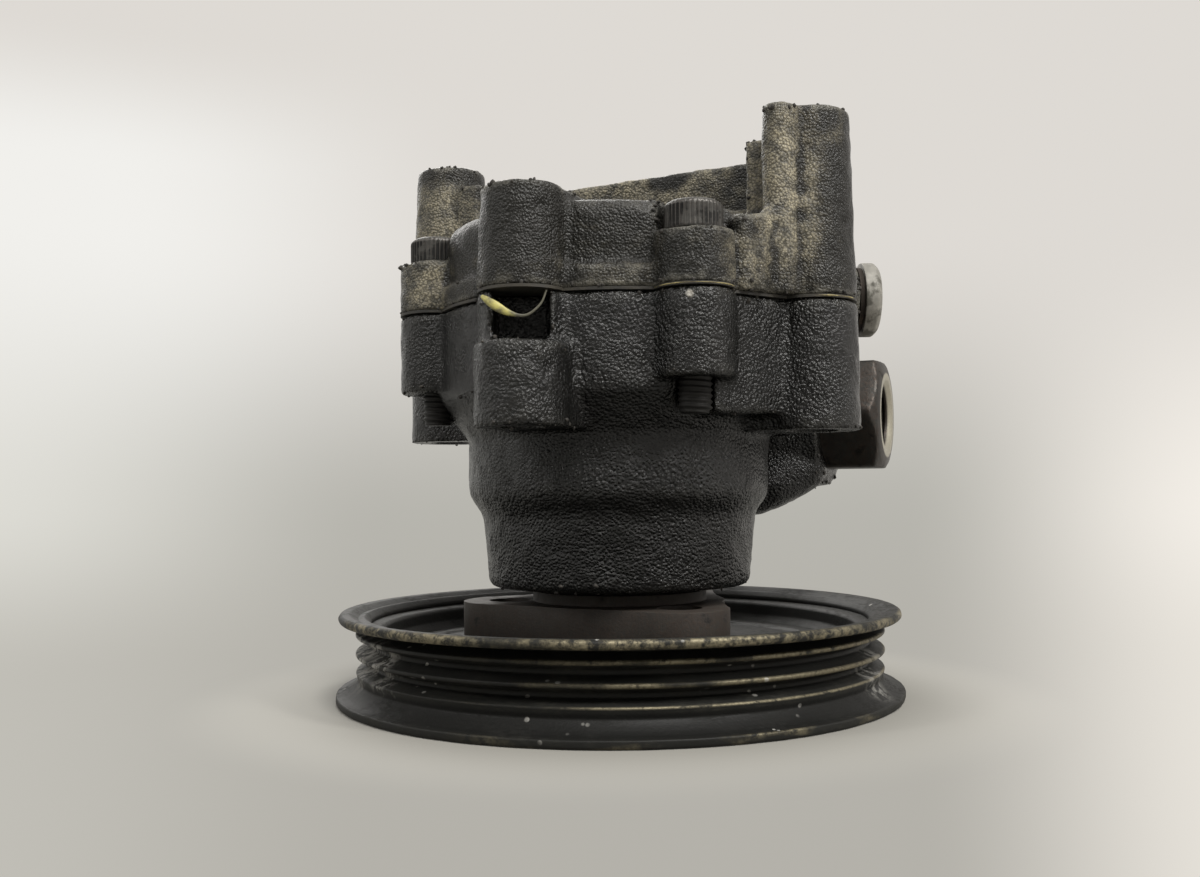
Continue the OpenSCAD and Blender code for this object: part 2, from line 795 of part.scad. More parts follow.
module bearing_cage() {
    color("#a8895a") difference() {
        translate([0, 0, bearing_z + (bearing_w - cage_h) / 2])
            ring(ball_track_r - cage_t / 2, ball_track_r + cage_t / 2, cage_h);
        translate([0, 0, bearing_z + bearing_w / 2])
            for (i = [0 : ball_count - 1]) rotate([0, 90, i * 360 / ball_count])
                cylinder(d = ball_d + 2 * run, h = bearing_od / 2);
    }
}

module bearing_circlip() {
    color("#55504a") translate([0, 0, bearing_z - circlip_t + end_gap])
        circlip(bearing_od / 2 - circlip_w, bearing_od / 2 + circlip_bite, circlip_t - end_gap, 24);
}

module shaft_circlip() {
    color("#55504a") translate([0, 0, bearing_z - shaft_circlip_t])
        circlip(shaft_d / 2 - circlip_bite, shaft_d / 2 + 2, shaft_circlip_t, 60);
}

module shaft_seal() {
    lip_t = 1.2;
    case_t = 2;
    color("#3a2a22") translate([0, 0, seal_z]) rotate_extrude() polygon([
        [seal_od / 2, 0], [seal_od / 2, seal_w], [seal_od / 2 - case_t, seal_w],
        [seal_od / 2 - case_t, case_t], [shaft_d / 2 + lip_t + 0.6, case_t],
        [shaft_d / 2 + lip_t, seal_w - 1], [shaft_d / 2 + run, seal_w - 2],
        [shaft_d / 2 + lip_t, 0]]);
}

module rear_bush() {
    color("#a9874f") translate([0, 0, bush_z]) ring(journal_d / 2 + run, bush_od / 2, bush_len);
}

// Curved port through a side plate, centred on a plan angle
module kidney(angle, z, h) {
    translate([0, 0, z]) rotate([0, 0, angle - port_span / 2]) rotate_extrude(angle = port_span)
        translate([port_r - port_w / 2, 0]) square([port_w, h]);
}

module front_side_plate() {
    color("#7d7a74") difference() {
        translate([0, 0, cavity_z]) cylinder(d = plate_d, h = front_plate_t);
        translate([0, 0, cavity_z - over]) cylinder(d = plate_bore_d, h = front_plate_t + 2 * over);
        translate([0, 0, cavity_z + oring_lift - oring_groove_w / 2])
            ring(plate_d / 2 - oring_d - cord_gap, plate_d / 2 + over, oring_groove_w);
        translate([0, 0, cam_z - dowel_in_plate - free]) around(dowel_angles, dowel_r)
            cylinder(d = dowel_d + 2 * fit, h = dowel_in_plate + free + over);
        for (a = pressure_angles) kidney(a, cavity_z - over, front_plate_t + 2 * over);
        for (a = suction_angles) kidney(a, cam_z - port_depth, port_depth + over);
    }
}

module side_plate_o_ring() {
    color("#1a1a1a") translate([0, 0, cavity_z + oring_lift]) o_ring(oring_r, oring_d);
}

module cam_ring() {
    cut_h = cam_w + 2 * over;
    color("#8a8780") difference() {
        translate([0, 0, cam_z]) cylinder(d = plate_d, h = cam_w);
        // Track of two round lobes joined by straight flanks, and the dowel holes
        translate([0, 0, cam_z - over]) {
            for (side = [-1, 1]) translate([side * cam_lift, 0, 0]) cylinder(r = cam_minor_r, h = cut_h);
            translate([-cam_lift, -cam_minor_r, 0]) cube([2 * cam_lift, 2 * cam_minor_r, cut_h]);
            around(dowel_angles, dowel_r) cylinder(d = dowel_d + 2 * fit, h = cut_h);
        }
    }
}

module rear_side_plate() {
    cut_h = rear_plate_t + 2 * over;
    color("#7d7a74") difference() {
        translate([0, 0, rear_plate_z]) cylinder(d = plate_d, h = rear_plate_t);
        translate([0, 0, rear_plate_z - over]) {
            cylinder(d = journal_d + 2 * free, h = cut_h);
            around(dowel_angles, dowel_r) cylinder(d = dowel_d + 2 * fit, h = cut_h);
            for (a = suction_angles) kidney(a, 0, cut_h);
        }
    }
}

module dowel_pins() {
    color("#9a9a98") translate([0, 0, cam_z - dowel_in_plate]) around(dowel_angles, dowel_r)
        cylinder(d = dowel_d, h = cover_z - cam_z + dowel_in_plate + dowel_in_cover);
}

module outlet_union() {
    groove_at = valve_face - union_groove_lip - union_groove_w;
    hex_chamfer = 1.6;
    color("#4b4946") difference() {
        union() {
            at_valve(union_inner) cylinder(d = union_thread_d, h = union_thread_len + over);
            at_valve(valve_face) intersection() {
                rotate([0, 0, 30]) hexagon(union_af, union_hex_len);
                cylinder(d1 = 2 * union_af, d2 = union_af / cos(30) - hex_chamfer, h = union_hex_len);
            }
        }
        at_valve(union_inner - over)
            cylinder(d = union_seat_d, h = union_thread_len + union_hex_len + 2 * over);
        at_valve(valve_face - union_bore_depth)
            cylinder(d = union_bore_d, h = union_hex_len + union_bore_depth + over);
        at_valve(groove_at) ring(union_thread_d / 2 - union_oring_d - cord_gap,
            union_thread_d / 2 + over, union_groove_w);
    }
}

module outlet_union_o_ring() {
    color("#1a1a1a") at_valve(valve_face - union_groove_lip - union_groove_w / 2)
        o_ring((union_thread_d - union_oring_d) / 2, union_oring_d);
}

module flow_valve_spool() {
    land = 6;
    neck_cut = 1.6;
    color("#a3a3a0") difference() {
        at_valve(spool_end) cylinder(d = valve_d - 2 * slide, h = spool_len);
        at_valve(spool_end + land) ring(valve_d / 2 - neck_cut, valve_d, spool_len - 2 * land);
        at_valve(spool_end - over)
            cylinder(d = valve_d - 2 * spool_wall - 2 * slide, h = spool_recess + over);
    }
}

// Compression spring behind the spool, swept along its helix
module flow_valve_spring() {
    length = spring_seat - bore_end - spring_wire_d;
    rings = spring_turns * spring_steps;
    function coil(k) = [spring_r * cos(360 * k / spring_steps), spring_r * sin(360 * k / spring_steps),
        spring_wire_d / 2 + length * k / rings];
    function wire(k, j) = coil(k) + spring_wire_d / 2 * (
        cos(360 * j / spring_sides) * [cos(360 * k / spring_steps), sin(360 * k / spring_steps), 0] +
        sin(360 * j / spring_sides) * [0, 0, 1]);
    points = [for (k = [0 : rings]) for (j = [0 : spring_sides - 1]) wire(k, j)];
    function at(k, j) = k * spring_sides + j % spring_sides;
    sides = [for (k = [0 : rings - 1]) for (j = [0 : spring_sides - 1])
        [at(k, j), at(k, j + 1), at(k + 1, j + 1), at(k + 1, j)]];
    first_end = [for (j = [spring_sides - 1 : -1 : 0]) at(0, j)];
    last_end = [for (j = [0 : spring_sides - 1]) at(rings, j)];
    color("#8c8c8a") at_valve(bore_end) polyhedron(points, concat(sides, [first_end, last_end]));
}

module gallery_plug() {
    color("#a29c8c") difference() {
        union() {
            at_gallery(gallery_x - plug_thread_len)
                cylinder(d = plug_thread_d, h = plug_thread_len + plug_washer_t + over);
            at_gallery(gallery_x + plug_washer_t)
                cylinder(d = plug_collar_d, h = plug_collar_t - plug_chamfer);
            at_gallery(gallery_x + plug_washer_t + plug_collar_t - plug_chamfer)
                cylinder(d1 = plug_collar_d, d2 = plug_collar_d - 2 * plug_chamfer, h = plug_chamfer);
        }
        at_gallery(gallery_x) hexagon(plug_socket_af, plug_washer_t + plug_collar_t + over);
    }
}

module gallery_plug_washer() {
    color("#a8703f") at_gallery(gallery_x)
        ring(plug_thread_d / 2 + groove_gap, plug_collar_d / 2 - spot_gap, plug_washer_t);
}

module spline(d, tooth_w, z, h) {
    translate([0, 0, z]) cylinder(d = d - 2 * spline_tooth_h, h = h);
    for (i = [0 : spline_teeth - 1])
        block(i * 360 / spline_teeth, [0, -tooth_w / 2], [d / 2, tooth_w / 2], z, h);
}

module shaft() {
    color("#8e8b86") difference() {
        union() {
            translate([0, 0, shaft_nose_z]) cylinder(d = shaft_nose_d, h = bearing_z - shaft_nose_z);
            translate([0, 0, hub_top_z]) cylinder(d = shaft_d, h = cavity_z - hub_top_z);
            translate([0, 0, bearing_top_z]) cylinder(d = shaft_collar_d, h = shaft_collar_t);
            spline(spline_d, spline_tooth_w, cavity_z - over, rotor_circlip_z - cavity_z + over);
            translate([0, 0, rotor_circlip_z - over])
                cylinder(d = journal_d, h = journal_top_z - rotor_circlip_z + over);
        }
        translate([0, 0, bearing_z - shaft_circlip_t])
            ring(shaft_d / 2 - circlip_bite - groove_gap, shaft_d, shaft_circlip_t);
        translate([0, 0, rotor_circlip_z])
            ring(journal_d / 2 - rotor_circlip_bite - groove_gap, journal_d, rotor_circlip_t);
    }
}

module drive_flange() {
    edge_inset = 0.2;
    color("#4d3a2c") difference() {
        union() {
            translate([0, 0, web_top_z]) linear_extrude(flange_t) {
                circle(r = lobe_r - 1);
                for (a = flange_angles) translate(polar(lobe_r, a)) circle(d = flange_lobe_d);
                // Straight edges between neighbouring lobes
                polygon([for (a = flange_angles) for (side = [-60, 60])
                    polar(lobe_r, a) + polar(flange_lobe_d / 2 - edge_inset, a + side)]);
            }
            translate([0, 0, flange_top_z - over]) cylinder(d = flange_hub_d, h = flange_hub_h + over);
            translate([0, 0, web_top_z - web_t + spigot_short]) cylinder(d = spigot_d, h = web_t);
        }
        translate([0, 0, shaft_nose_z - over])
            cylinder(d = shaft_nose_d + 2 * fit, h = hub_top_z - shaft_nose_z + 2 * over);
        translate([0, 0, web_top_z - over]) around(flange_angles, lobe_r)
            cylinder(d = pulley_bolt_d + 2 * thread_gap, h = flange_t + 2 * over);
    }
}

// Pressed pulley in section: grooved outside, dished on both faces
module pulley_section() {
    lip_root = 1.6;
    bend = 1.5;
    edge = 0.5;
    hub_r = spigot_d / 2 + run;
    lower_r = lower_rim_d / 2;
    upper_r = upper_rim_d / 2;
    grooves = [for (i = [0 : groove_count - 1]) let (mid = lower_shoulder_z + (i + 0.5) * rib_pitch) each [
        [rib_r, mid - groove_open / 2], [groove_r, mid - groove_floor / 2],
        [groove_r, mid + groove_floor / 2],
        [rib_r - (i == groove_count - 1 ? lip_root : 0), mid + groove_open / 2]]];
    flare = [for (t = [0 : 0.25 : 1]) [
        lower_r - (lower_r - rib_r + edge) * t,
        lower_edge_t + (lower_shoulder_z - lower_edge_t) * t * t]];
    web_low = web_z;
    web_high = web_z + web_t;
    polygon(concat(
        [[hub_r, web_low], [well_r - 2.6 * bend, web_low], [well_r, web_low - 1.6 * bend],
            [well_r + bend, lower_edge_t], [lower_r - 5 * edge, 0], [lower_r - edge, 0], [lower_r, edge]],
        flare,
        grooves,
        [[upper_r, upper_rim_z], [upper_r, pulley_h - edge / 2], [upper_r - edge / 2, pulley_h],
            [upper_r - 4 * edge, pulley_h], [well_r + bend, groove_top_z - edge],
            [well_r, groove_top_z - 2.4 * edge], [well_r, web_high + bend], [well_r - bend, web_high],
            [hub_r, web_high]]));
}

module pulley() {
    color("#23211f") difference() {
        translate([0, 0, pulley_z]) rotate_extrude($fn = 180) pulley_section();
        translate([0, 0, pulley_z]) around(flange_angles, lobe_r)
            cylinder(d = pulley_bolt_d + 2 * bolt_hole_gap, h = pulley_h);
    }
}

module pulley_bolts() {
    color("#57524c") translate([0, 0, web_top_z - web_t]) around(flange_angles, lobe_r) {
        cylinder(d = pulley_bolt_d, h = pulley_bolt_len);
        translate([0, 0, -pulley_bolt_head_h]) hexagon(pulley_bolt_af, pulley_bolt_head_h);
    }
}

module rotor() {
    key_r = 1.3;
    color("#96938d") difference() {
        translate([0, 0, rotor_z]) cylinder(r = rotor_r, h = rotor_h);
        spline(spline_d + 2 * fit, spline_tooth_w + 2 * fit, rotor_z - over, rotor_h + 2 * over);
        translate([0, 0, rotor_circlip_z]) cylinder(d = rotor_recess_d, h = rotor_recess_h + over);
        for (i = [1 : vane_count]) rotate([0, 0, vane_angle(i)]) {
            translate([slot_bottom_r, -slot_w / 2, rotor_z - over])
                cube([rotor_r, slot_w, rotor_h + 2 * over]);
            translate([slot_bottom_r, 0, rotor_z - over]) cylinder(r = key_r, h = rotor_h + 2 * over);
        }
    }
}

module rotor_circlip() {
    color("#55504a") translate([0, 0, rotor_circlip_z])
        circlip(journal_d / 2 - rotor_circlip_bite, rotor_recess_d / 2 - free, rotor_circlip_t, 50);
}

module vane(i) {
    color("#b4b1aa") rotate([0, 0, vane_angle(i)])
        translate([vane_root_r, -vane_t / 2, rotor_z + run]) cube([vane_h, vane_t, rotor_h - 2 * run]);
}

front_housing();
rear_cover();
inlet_block();
cover_right_post();
cover_left_post();
cover_gasket();
gasket_strand();
cover_bolts();
bearing_outer_ring();
bearing_circlip();
shaft_seal();
rear_bush();
front_side_plate();
side_plate_o_ring();
cam_ring();
rear_side_plate();
dowel_pins();
outlet_union();
outlet_union_o_ring();
flow_valve_spring();
flow_valve_spool();
gallery_plug();
gallery_plug_washer();
shaft();
drive_flange();
pulley();
pulley_bolts();
rotor();
rotor_circlip();
bearing_inner_ring();
shaft_circlip();
bearing_balls();
bearing_cage();
for (i = [1 : vane_count]) vane(i);
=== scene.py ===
"""A used power steering pump with its belt pulley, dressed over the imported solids.

Everything is in the part's own frame: metres, +Z along the shaft from pulley to rear cover, -Y the front.
Sizes are written in millimetres, and MM turns them into metres where they meet the frame.
"""

import logging
import math
from dataclasses import dataclass, field
from enum import Enum
from typing import Any, Callable, Iterable, Optional, Sequence, Union

import bmesh
import bpy
import numpy as np
from mathutils import Matrix, Vector


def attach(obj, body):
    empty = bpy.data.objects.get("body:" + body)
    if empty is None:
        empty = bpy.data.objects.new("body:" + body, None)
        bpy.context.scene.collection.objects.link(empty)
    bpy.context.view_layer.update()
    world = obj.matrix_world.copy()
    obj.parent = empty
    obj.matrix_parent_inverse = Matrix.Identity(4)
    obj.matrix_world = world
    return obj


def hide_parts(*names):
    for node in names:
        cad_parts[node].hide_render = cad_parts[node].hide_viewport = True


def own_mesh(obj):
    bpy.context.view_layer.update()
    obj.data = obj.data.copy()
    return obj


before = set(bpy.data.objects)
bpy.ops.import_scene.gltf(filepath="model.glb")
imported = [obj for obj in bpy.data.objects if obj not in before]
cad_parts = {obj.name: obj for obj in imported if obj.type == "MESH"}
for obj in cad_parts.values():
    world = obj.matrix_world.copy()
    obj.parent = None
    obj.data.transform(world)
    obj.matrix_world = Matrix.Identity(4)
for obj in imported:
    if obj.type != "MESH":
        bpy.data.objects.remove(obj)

Colour = tuple[float, float, float]
Point = tuple[float, float, float]
Span = tuple[float, float]
Feed = Union[bpy.types.NodeSocket, float, tuple]
Socket = bpy.types.NodeSocket
RingRadius = Callable[[np.ndarray], np.ndarray]
Ring = tuple[RingRadius, float]

MM = 0.001
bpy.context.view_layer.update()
LOG = logging.getLogger("pump")
ACROSS: Point = (1.0, 0.0, 0.0)
UP: Point = (0.0, 0.0, 1.0)
EVEN_SCALE: Point = (1.0, 1.0, 1.0)
FLOOR_LEVEL = -49.0
RIB_TIP = 50.2
UPPER_RIM = 53.3
LOWER_RIM = 53.9
VALVE_AXIS: Point = (0.92718, -0.37461, 0.0)
PHOTO_EYE: Point = (0.0, -222.0, -11.2)
RUST: Colour = (0.13, 0.06, 0.03)
NO_EDGE = 0.5


class Body(str, Enum):
    """The bodies that pieces ride on."""

    HOUSING = "pump_housing"
    SHAFT = "shaft_set"


class Slot(str, Enum):
    """The record's material slots."""

    HOUSING = "housing_casting"
    COVER = "cover_casting"
    GASKET = "gasket"
    BLACK_STEEL = "black_steel"
    UNION = "union_steel"
    PLUG = "plug_steel"
    FLANGE = "rusty_steel"
    PULLEY = "pulley_paint"
    SPRING = "spring_steel"


def scaled(values: Sequence[float], factor: float) -> tuple[float, ...]:
    """Some values times a factor."""
    return tuple(factor * value for value in values)


class Nodes:
    """Builds a node tree step by step."""

    def __init__(self, tree: bpy.types.NodeTree, coordinates: str) -> None:
        """Starts on a tree.

        Args:
            tree: the tree to build in.
            coordinates: which texture coordinates its patterns follow.
        """
        self.tree = tree
        self.place = tree.nodes.new("ShaderNodeTexCoord").outputs[coordinates]

    def put(self, socket: Socket, value: Feed) -> None:
        """Links a socket to another one, or sets its value.

        Args:
            socket: the input to feed.
            value: an output socket, a number or a tuple.
        """
        if isinstance(value, Socket):
            self.tree.links.new(value, socket)
        elif isinstance(value, tuple) and socket.type == "RGBA":
            socket.default_value = (*value[:3], 1.0)
        else:
            socket.default_value = value

    def add(self, kind: str, feeds: dict[Any, Feed], **settings: Any) -> bpy.types.Node:
        """Adds a node.

        Args:
            kind: the node's Blender type.
            feeds: its inputs by name or number.
            settings: its own properties.

        Returns:
            The new node.
        """
        node = self.tree.nodes.new(kind)
        for key, value in settings.items():
            setattr(node, key, value)
        for key, value in feeds.items():
            self.put(node.inputs[key], value)
        return node

    def noise(self, size: float, detail: float = 4.0, rough: float = 0.55,
              stretch: Optional[Point] = None, warp: float = 0.0) -> Socket:
        """A cloudy value between 0 and 1.

        Args:
            size: the clouds' size in mm.
            detail: how many finer layers it has.
            rough: how strong the finer layers are.
            stretch: scale of the pattern along each axis.
            warp: how far the pattern is distorted.

        Returns:
            The value's socket.
        """
        place = self.place
        if stretch is not None:
            place = self.add("ShaderNodeMapping", {"Vector": place, "Scale": stretch}).outputs[0]
        feeds = {"Vector": place, "Scale": 1.0 / (size * MM), "Detail": detail, "Roughness": rough,
                 "Distortion": warp}
        return self.add("ShaderNodeTexNoise", feeds).outputs[0]

    def cells(self, size: float) -> Socket:
        """Distance to scattered points, in units of their spacing (mm)."""
        feeds = {"Vector": self.place, "Scale": 1.0 / (size * MM)}
        return self.add("ShaderNodeTexVoronoi", feeds, feature="F1").outputs["Distance"]

    def step(self, value: Feed, low: float, high: float) -> Socket:
        """A soft step from 0 at low to 1 at high, or the other way round where low is larger."""
        feeds = {"Value": value, "From Min": low, "From Max": high}
        return self.add("ShaderNodeMapRange", feeds, interpolation_type="SMOOTHSTEP").outputs[0]

    def math(self, operation: str, a: Feed, b: Feed = 0.0) -> Socket:
        """One arithmetic step of two values."""
        return self.add("ShaderNodeMath", {0: a, 1: b}, operation=operation).outputs[0]

    def line(self, value: Feed, slope: float, start: float) -> Socket:
        """A value times a slope, plus a start."""
        return self.add("ShaderNodeMath", {0: value, 1: slope, 2: start}, operation="MULTIPLY_ADD").outputs[0]

    def vector(self, operation: str, a: Feed, b: Feed = (0.0, 0.0, 0.0), result: str = "Vector") -> Socket:
        """One arithmetic step of two vectors."""
        return self.add("ShaderNodeVectorMath", {0: a, 1: b}, operation=operation).outputs[result]

    def both(self, *values: Feed) -> Socket:
        """The product of masks.

        Args:
            values: the masks.

        Returns:
            The product's socket.
        """
        total = values[0]
        for value in values[1:]:
            total = self.math("MULTIPLY", total, value)
        return total

    def either(self, *values: Feed) -> Socket:
        """The largest of masks.

        Args:
            values: the masks.

        Returns:
            The largest one's socket.
        """
        total = values[0]
        for value in values[1:]:
            total = self.math("MAXIMUM", total, value)
        return total

    def less(self, value: Feed) -> Socket:
        """The rest of a mask: 1 where it is 0."""
        return self.math("SUBTRACT", 1.0, value)

    def mix(self, share: Feed, a: Feed, b: Feed) -> Socket:
        """Goes from colour a to colour b as share goes from 0 to 1."""
        return self.add("ShaderNodeMix", {0: share, 6: a, 7: b}, data_type="RGBA").outputs[2]

    def attribute(self, name: str) -> Socket:
        """A value stored on the mesh."""
        return self.add("ShaderNodeAttribute", {}, attribute_name=name).outputs["Fac"]

    def axis_part(self, source: Feed, axis: Point) -> Socket:
        """How far a vector points along an axis."""
        return self.vector("DOT_PRODUCT", source, axis, "Value")

    def away(self, centre: Point, scale: Point = EVEN_SCALE) -> Socket:
        """Distance from a point.

        Args:
            centre: the point in mm.
            scale: how each axis is scaled first.

        Returns:
            The distance's socket, in mm.
        """
        start = tuple(c * s * MM for c, s in zip(centre, scale))
        gap = self.vector("DISTANCE", self.vector("MULTIPLY", self.place, scale), start, "Value")
        return self.math("DIVIDE", gap, MM)

    def bump(self, height: Feed, depth: float, under: Optional[Socket] = None,
             strength: Feed = 1.0) -> Socket:
        """Relief of a surface.

        Args:
            height: its height from 0 to 1.
            depth: what 1 means in mm.
            under: relief that it lies on.
            strength: how much of it is felt, from 0 to 1.

        Returns:
            The normal's socket.
        """
        feeds: dict[Any, Feed] = {"Height": height, "Distance": depth * MM, "Strength": strength}
        if under is not None:
            feeds["Normal"] = under
        return self.add("ShaderNodeBump", feeds).outputs[0]

    def seen(self) -> Socket:
        """Where a ray comes from the viewer, straight or by way of metal or glass."""
        path = self.tree.nodes.new("ShaderNodeLightPath").outputs
        return self.either(path["Is Camera Ray"], path["Is Glossy Ray"], path["Is Transmission Ray"])


class Sheet(Nodes):
    """One node material around a single surface shader."""

    def __init__(self, name: str) -> None:
        """Starts a material.

        Args:
            name: the material's name.
        """
        self.material = bpy.data.materials.new(name)
        self.material.use_nodes = True
        super().__init__(self.material.node_tree, "Object")
        self.shader = self.tree.nodes["Principled BSDF"]

    def finish(self, **sockets: Feed) -> bpy.types.Material:
        """Feeds the surface shader.

        Args:
            sockets: the shader's inputs, with _ for a space.

        Returns:
            The finished material.
        """
        for name, value in sockets.items():
            self.put(self.shader.inputs[name.replace("_", " ")], value)
        return self.material


@dataclass(frozen=True)
class Spot:
    """A stain around a point, in mm."""

    centre: Point
    radius: float
    strength: float = 1.0
    scale: Point = EVEN_SCALE
    core: float = 0.45

    def mask(self, sheet: Sheet, ragged: Feed) -> Socket:
        """Where the stain is.

        Args:
            sheet: the material under way.
            ragged: a cloudy value that frays the stain's edge.

        Returns:
            The mask's socket.
        """
        frayed = sheet.line(ragged, self.radius, -0.5 * self.radius)
        gap = sheet.math("ADD", sheet.away(self.centre, self.scale), frayed)
        return sheet.math("MULTIPLY", sheet.step(gap, self.radius, self.core * self.radius), self.strength)


@dataclass(frozen=True)
class CastFinish:
    """Grimy cast aluminium: grease in the hollows, bare grain on the edges, dust where it settles, and dark
    spots that are mostly painted shade and partly grease stains.

    Each span named ..._at says at which value of its pattern a mask starts and where it is full.
    """

    name: str
    grease: Colour
    bare: Colour
    dust: Colour
    dusty: float
    gloss: Span
    grain_depth: float
    grain_size: float
    shine: float
    tan_spots: tuple[Spot, ...] = ()
    shade_and_stain_spots: tuple[Spot, ...] = ()
    rust_spots: tuple[Spot, ...] = ()
    pale_spots: tuple[Spot, ...] = ()
    pale: Colour = (0.42, 0.4, 0.36)
    cloud_size: float = 9.0
    patch_size: float = 3.2
    sand_size: float = 0.2
    sand_depth: float = 0.35
    hollow_shade_at: Span = (0.62, 0.36)
    crevice_at: Span = (0.47, 0.24)
    settled_at: Span = (0.5, 0.72)
    bald_at: Span = (0.5, 0.34)
    edge_at: Span = (0.58, 0.88)
    rubbed_at: Span = (0.36, 0.6)
    peak_at: Span = (0.68, 0.9)
    speck_at: Span = (0.42, 0.62)
    mottle_at: Span = (0.3, 0.7)
    dry_at: Span = (0.42, 0.66)
    relief_at: Span = (0.3, 0.6)
    peak_share: float = 0.4
    crevice_share: float = 0.8
    hollow_shade_share: float = 0.6
    bald_share: float = 0.4
    grease_and_shade_share: float = 0.75
    dry_share: float = 0.6
    sand_share: float = 0.5
    least_relief: float = 0.5

    def spots(self, sheet: Sheet, spots: Sequence[Spot], ragged: Feed) -> Feed:
        """The union of some stains."""
        masks = [spot.mask(sheet, ragged) for spot in spots]
        return sheet.either(*masks) if masks else 0.0

    def material(self) -> bpy.types.Material:
        """Builds the casting's material.

        Returns:
            The material.
        """
        s = Sheet(self.name)
        edge = s.attribute("edge")
        clouds = s.noise(self.cloud_size, detail=6.0, rough=0.62, warp=0.5)
        patches = s.noise(self.patch_size, detail=6.0, rough=0.7)
        pebbles = s.less(s.cells(self.grain_size))
        sand = s.noise(self.sand_size, detail=2.0, rough=0.6)
        # Dust is kept out of the pebbles' hollows, which paints shade into the grain.
        hollow = s.step(pebbles, *self.hollow_shade_at)
        crevice = s.step(edge, *self.crevice_at)
        # The dark spots are painted shade in the grease colour; a few of them on the cover are real grease
        # stains.
        dark = self.spots(s, self.shade_and_stain_spots, clouds)
        settled = s.both(s.step(clouds, *self.settled_at), self.dusty)
        tan = s.both(s.either(self.spots(s, self.tan_spots, clouds), settled), s.less(dark),
                     s.less(s.both(crevice, self.crevice_share)), s.less(s.both(hollow, self.hollow_shade_share)),
                     s.less(s.both(s.step(patches, *self.bald_at), self.bald_share)))
        worn = s.both(s.step(edge, *self.edge_at), s.step(patches, *self.rubbed_at))
        peaks = s.both(s.step(pebbles, *self.peak_at), s.step(sand, *self.speck_at), self.peak_share)
        colour = s.mix(s.either(worn, peaks), self.grease, self.bare)
        colour = s.mix(tan, colour, s.mix(s.step(patches, *self.mottle_at), self.bare, self.dust))
        # Creases take grease, and the dark spots take the same colour as painted shade.
        colour = s.mix(s.both(s.either(crevice, dark), self.grease_and_shade_share), colour, self.grease)
        colour = s.mix(self.spots(s, self.rust_spots, patches), colour, RUST)
        colour = s.mix(self.spots(s, self.pale_spots, patches), colour, self.pale)
        dry = s.either(tan, s.both(s.step(clouds, *self.dry_at), self.dry_share),
                       s.both(sand, self.sand_share))
        felt = s.line(s.step(clouds, *self.relief_at), 1.0 - self.least_relief, self.least_relief)
        relief = s.bump(pebbles, self.grain_depth, strength=felt)
        relief = s.bump(sand, self.sand_depth * self.grain_depth, relief)
        rough = s.line(dry, self.gloss[1] - self.gloss[0], self.gloss[0])
        return s.finish(Base_Color=colour, Roughness=rough, Normal=relief, Specular_IOR_Level=self.shine)


@dataclass(frozen=True)
class FaceRing:
    """A bright, rubbed ring on an end face, in mm."""

    centre: Point
    axis: Point
    inner: float
    outer: float
    colour: Colour = (0.34, 0.32, 0.26)
    inner_fade: float = 0.3
    outer_fade: float = 0.5
    depth: Span = (-1.2, -0.6)
    rubbed_at: Span = (0.25, 0.42)

    def mask(self, s: Sheet, clouds: Feed) -> Socket:
        """Where the ring is.

        Args:
            s: the material under way.
            clouds: a cloudy value that breaks the ring up.

        Returns:
            The mask's socket.
        """
        reach = s.vector("SUBTRACT", s.place, scaled(self.centre, MM))
        along = s.axis_part(reach, self.axis)
        whole = s.vector("LENGTH", reach, result="Value")
        gap = s.math("SQRT", s.math("SUBTRACT", s.both(whole, whole), s.both(along, along)))
        return s.both(s.step(gap, self.inner * MM, (self.inner + self.inner_fade) * MM),
                      s.step(gap, self.outer * MM, (self.outer - self.outer_fade) * MM),
                      s.step(along, *scaled(self.depth, MM)), s.step(clouds, *self.rubbed_at))


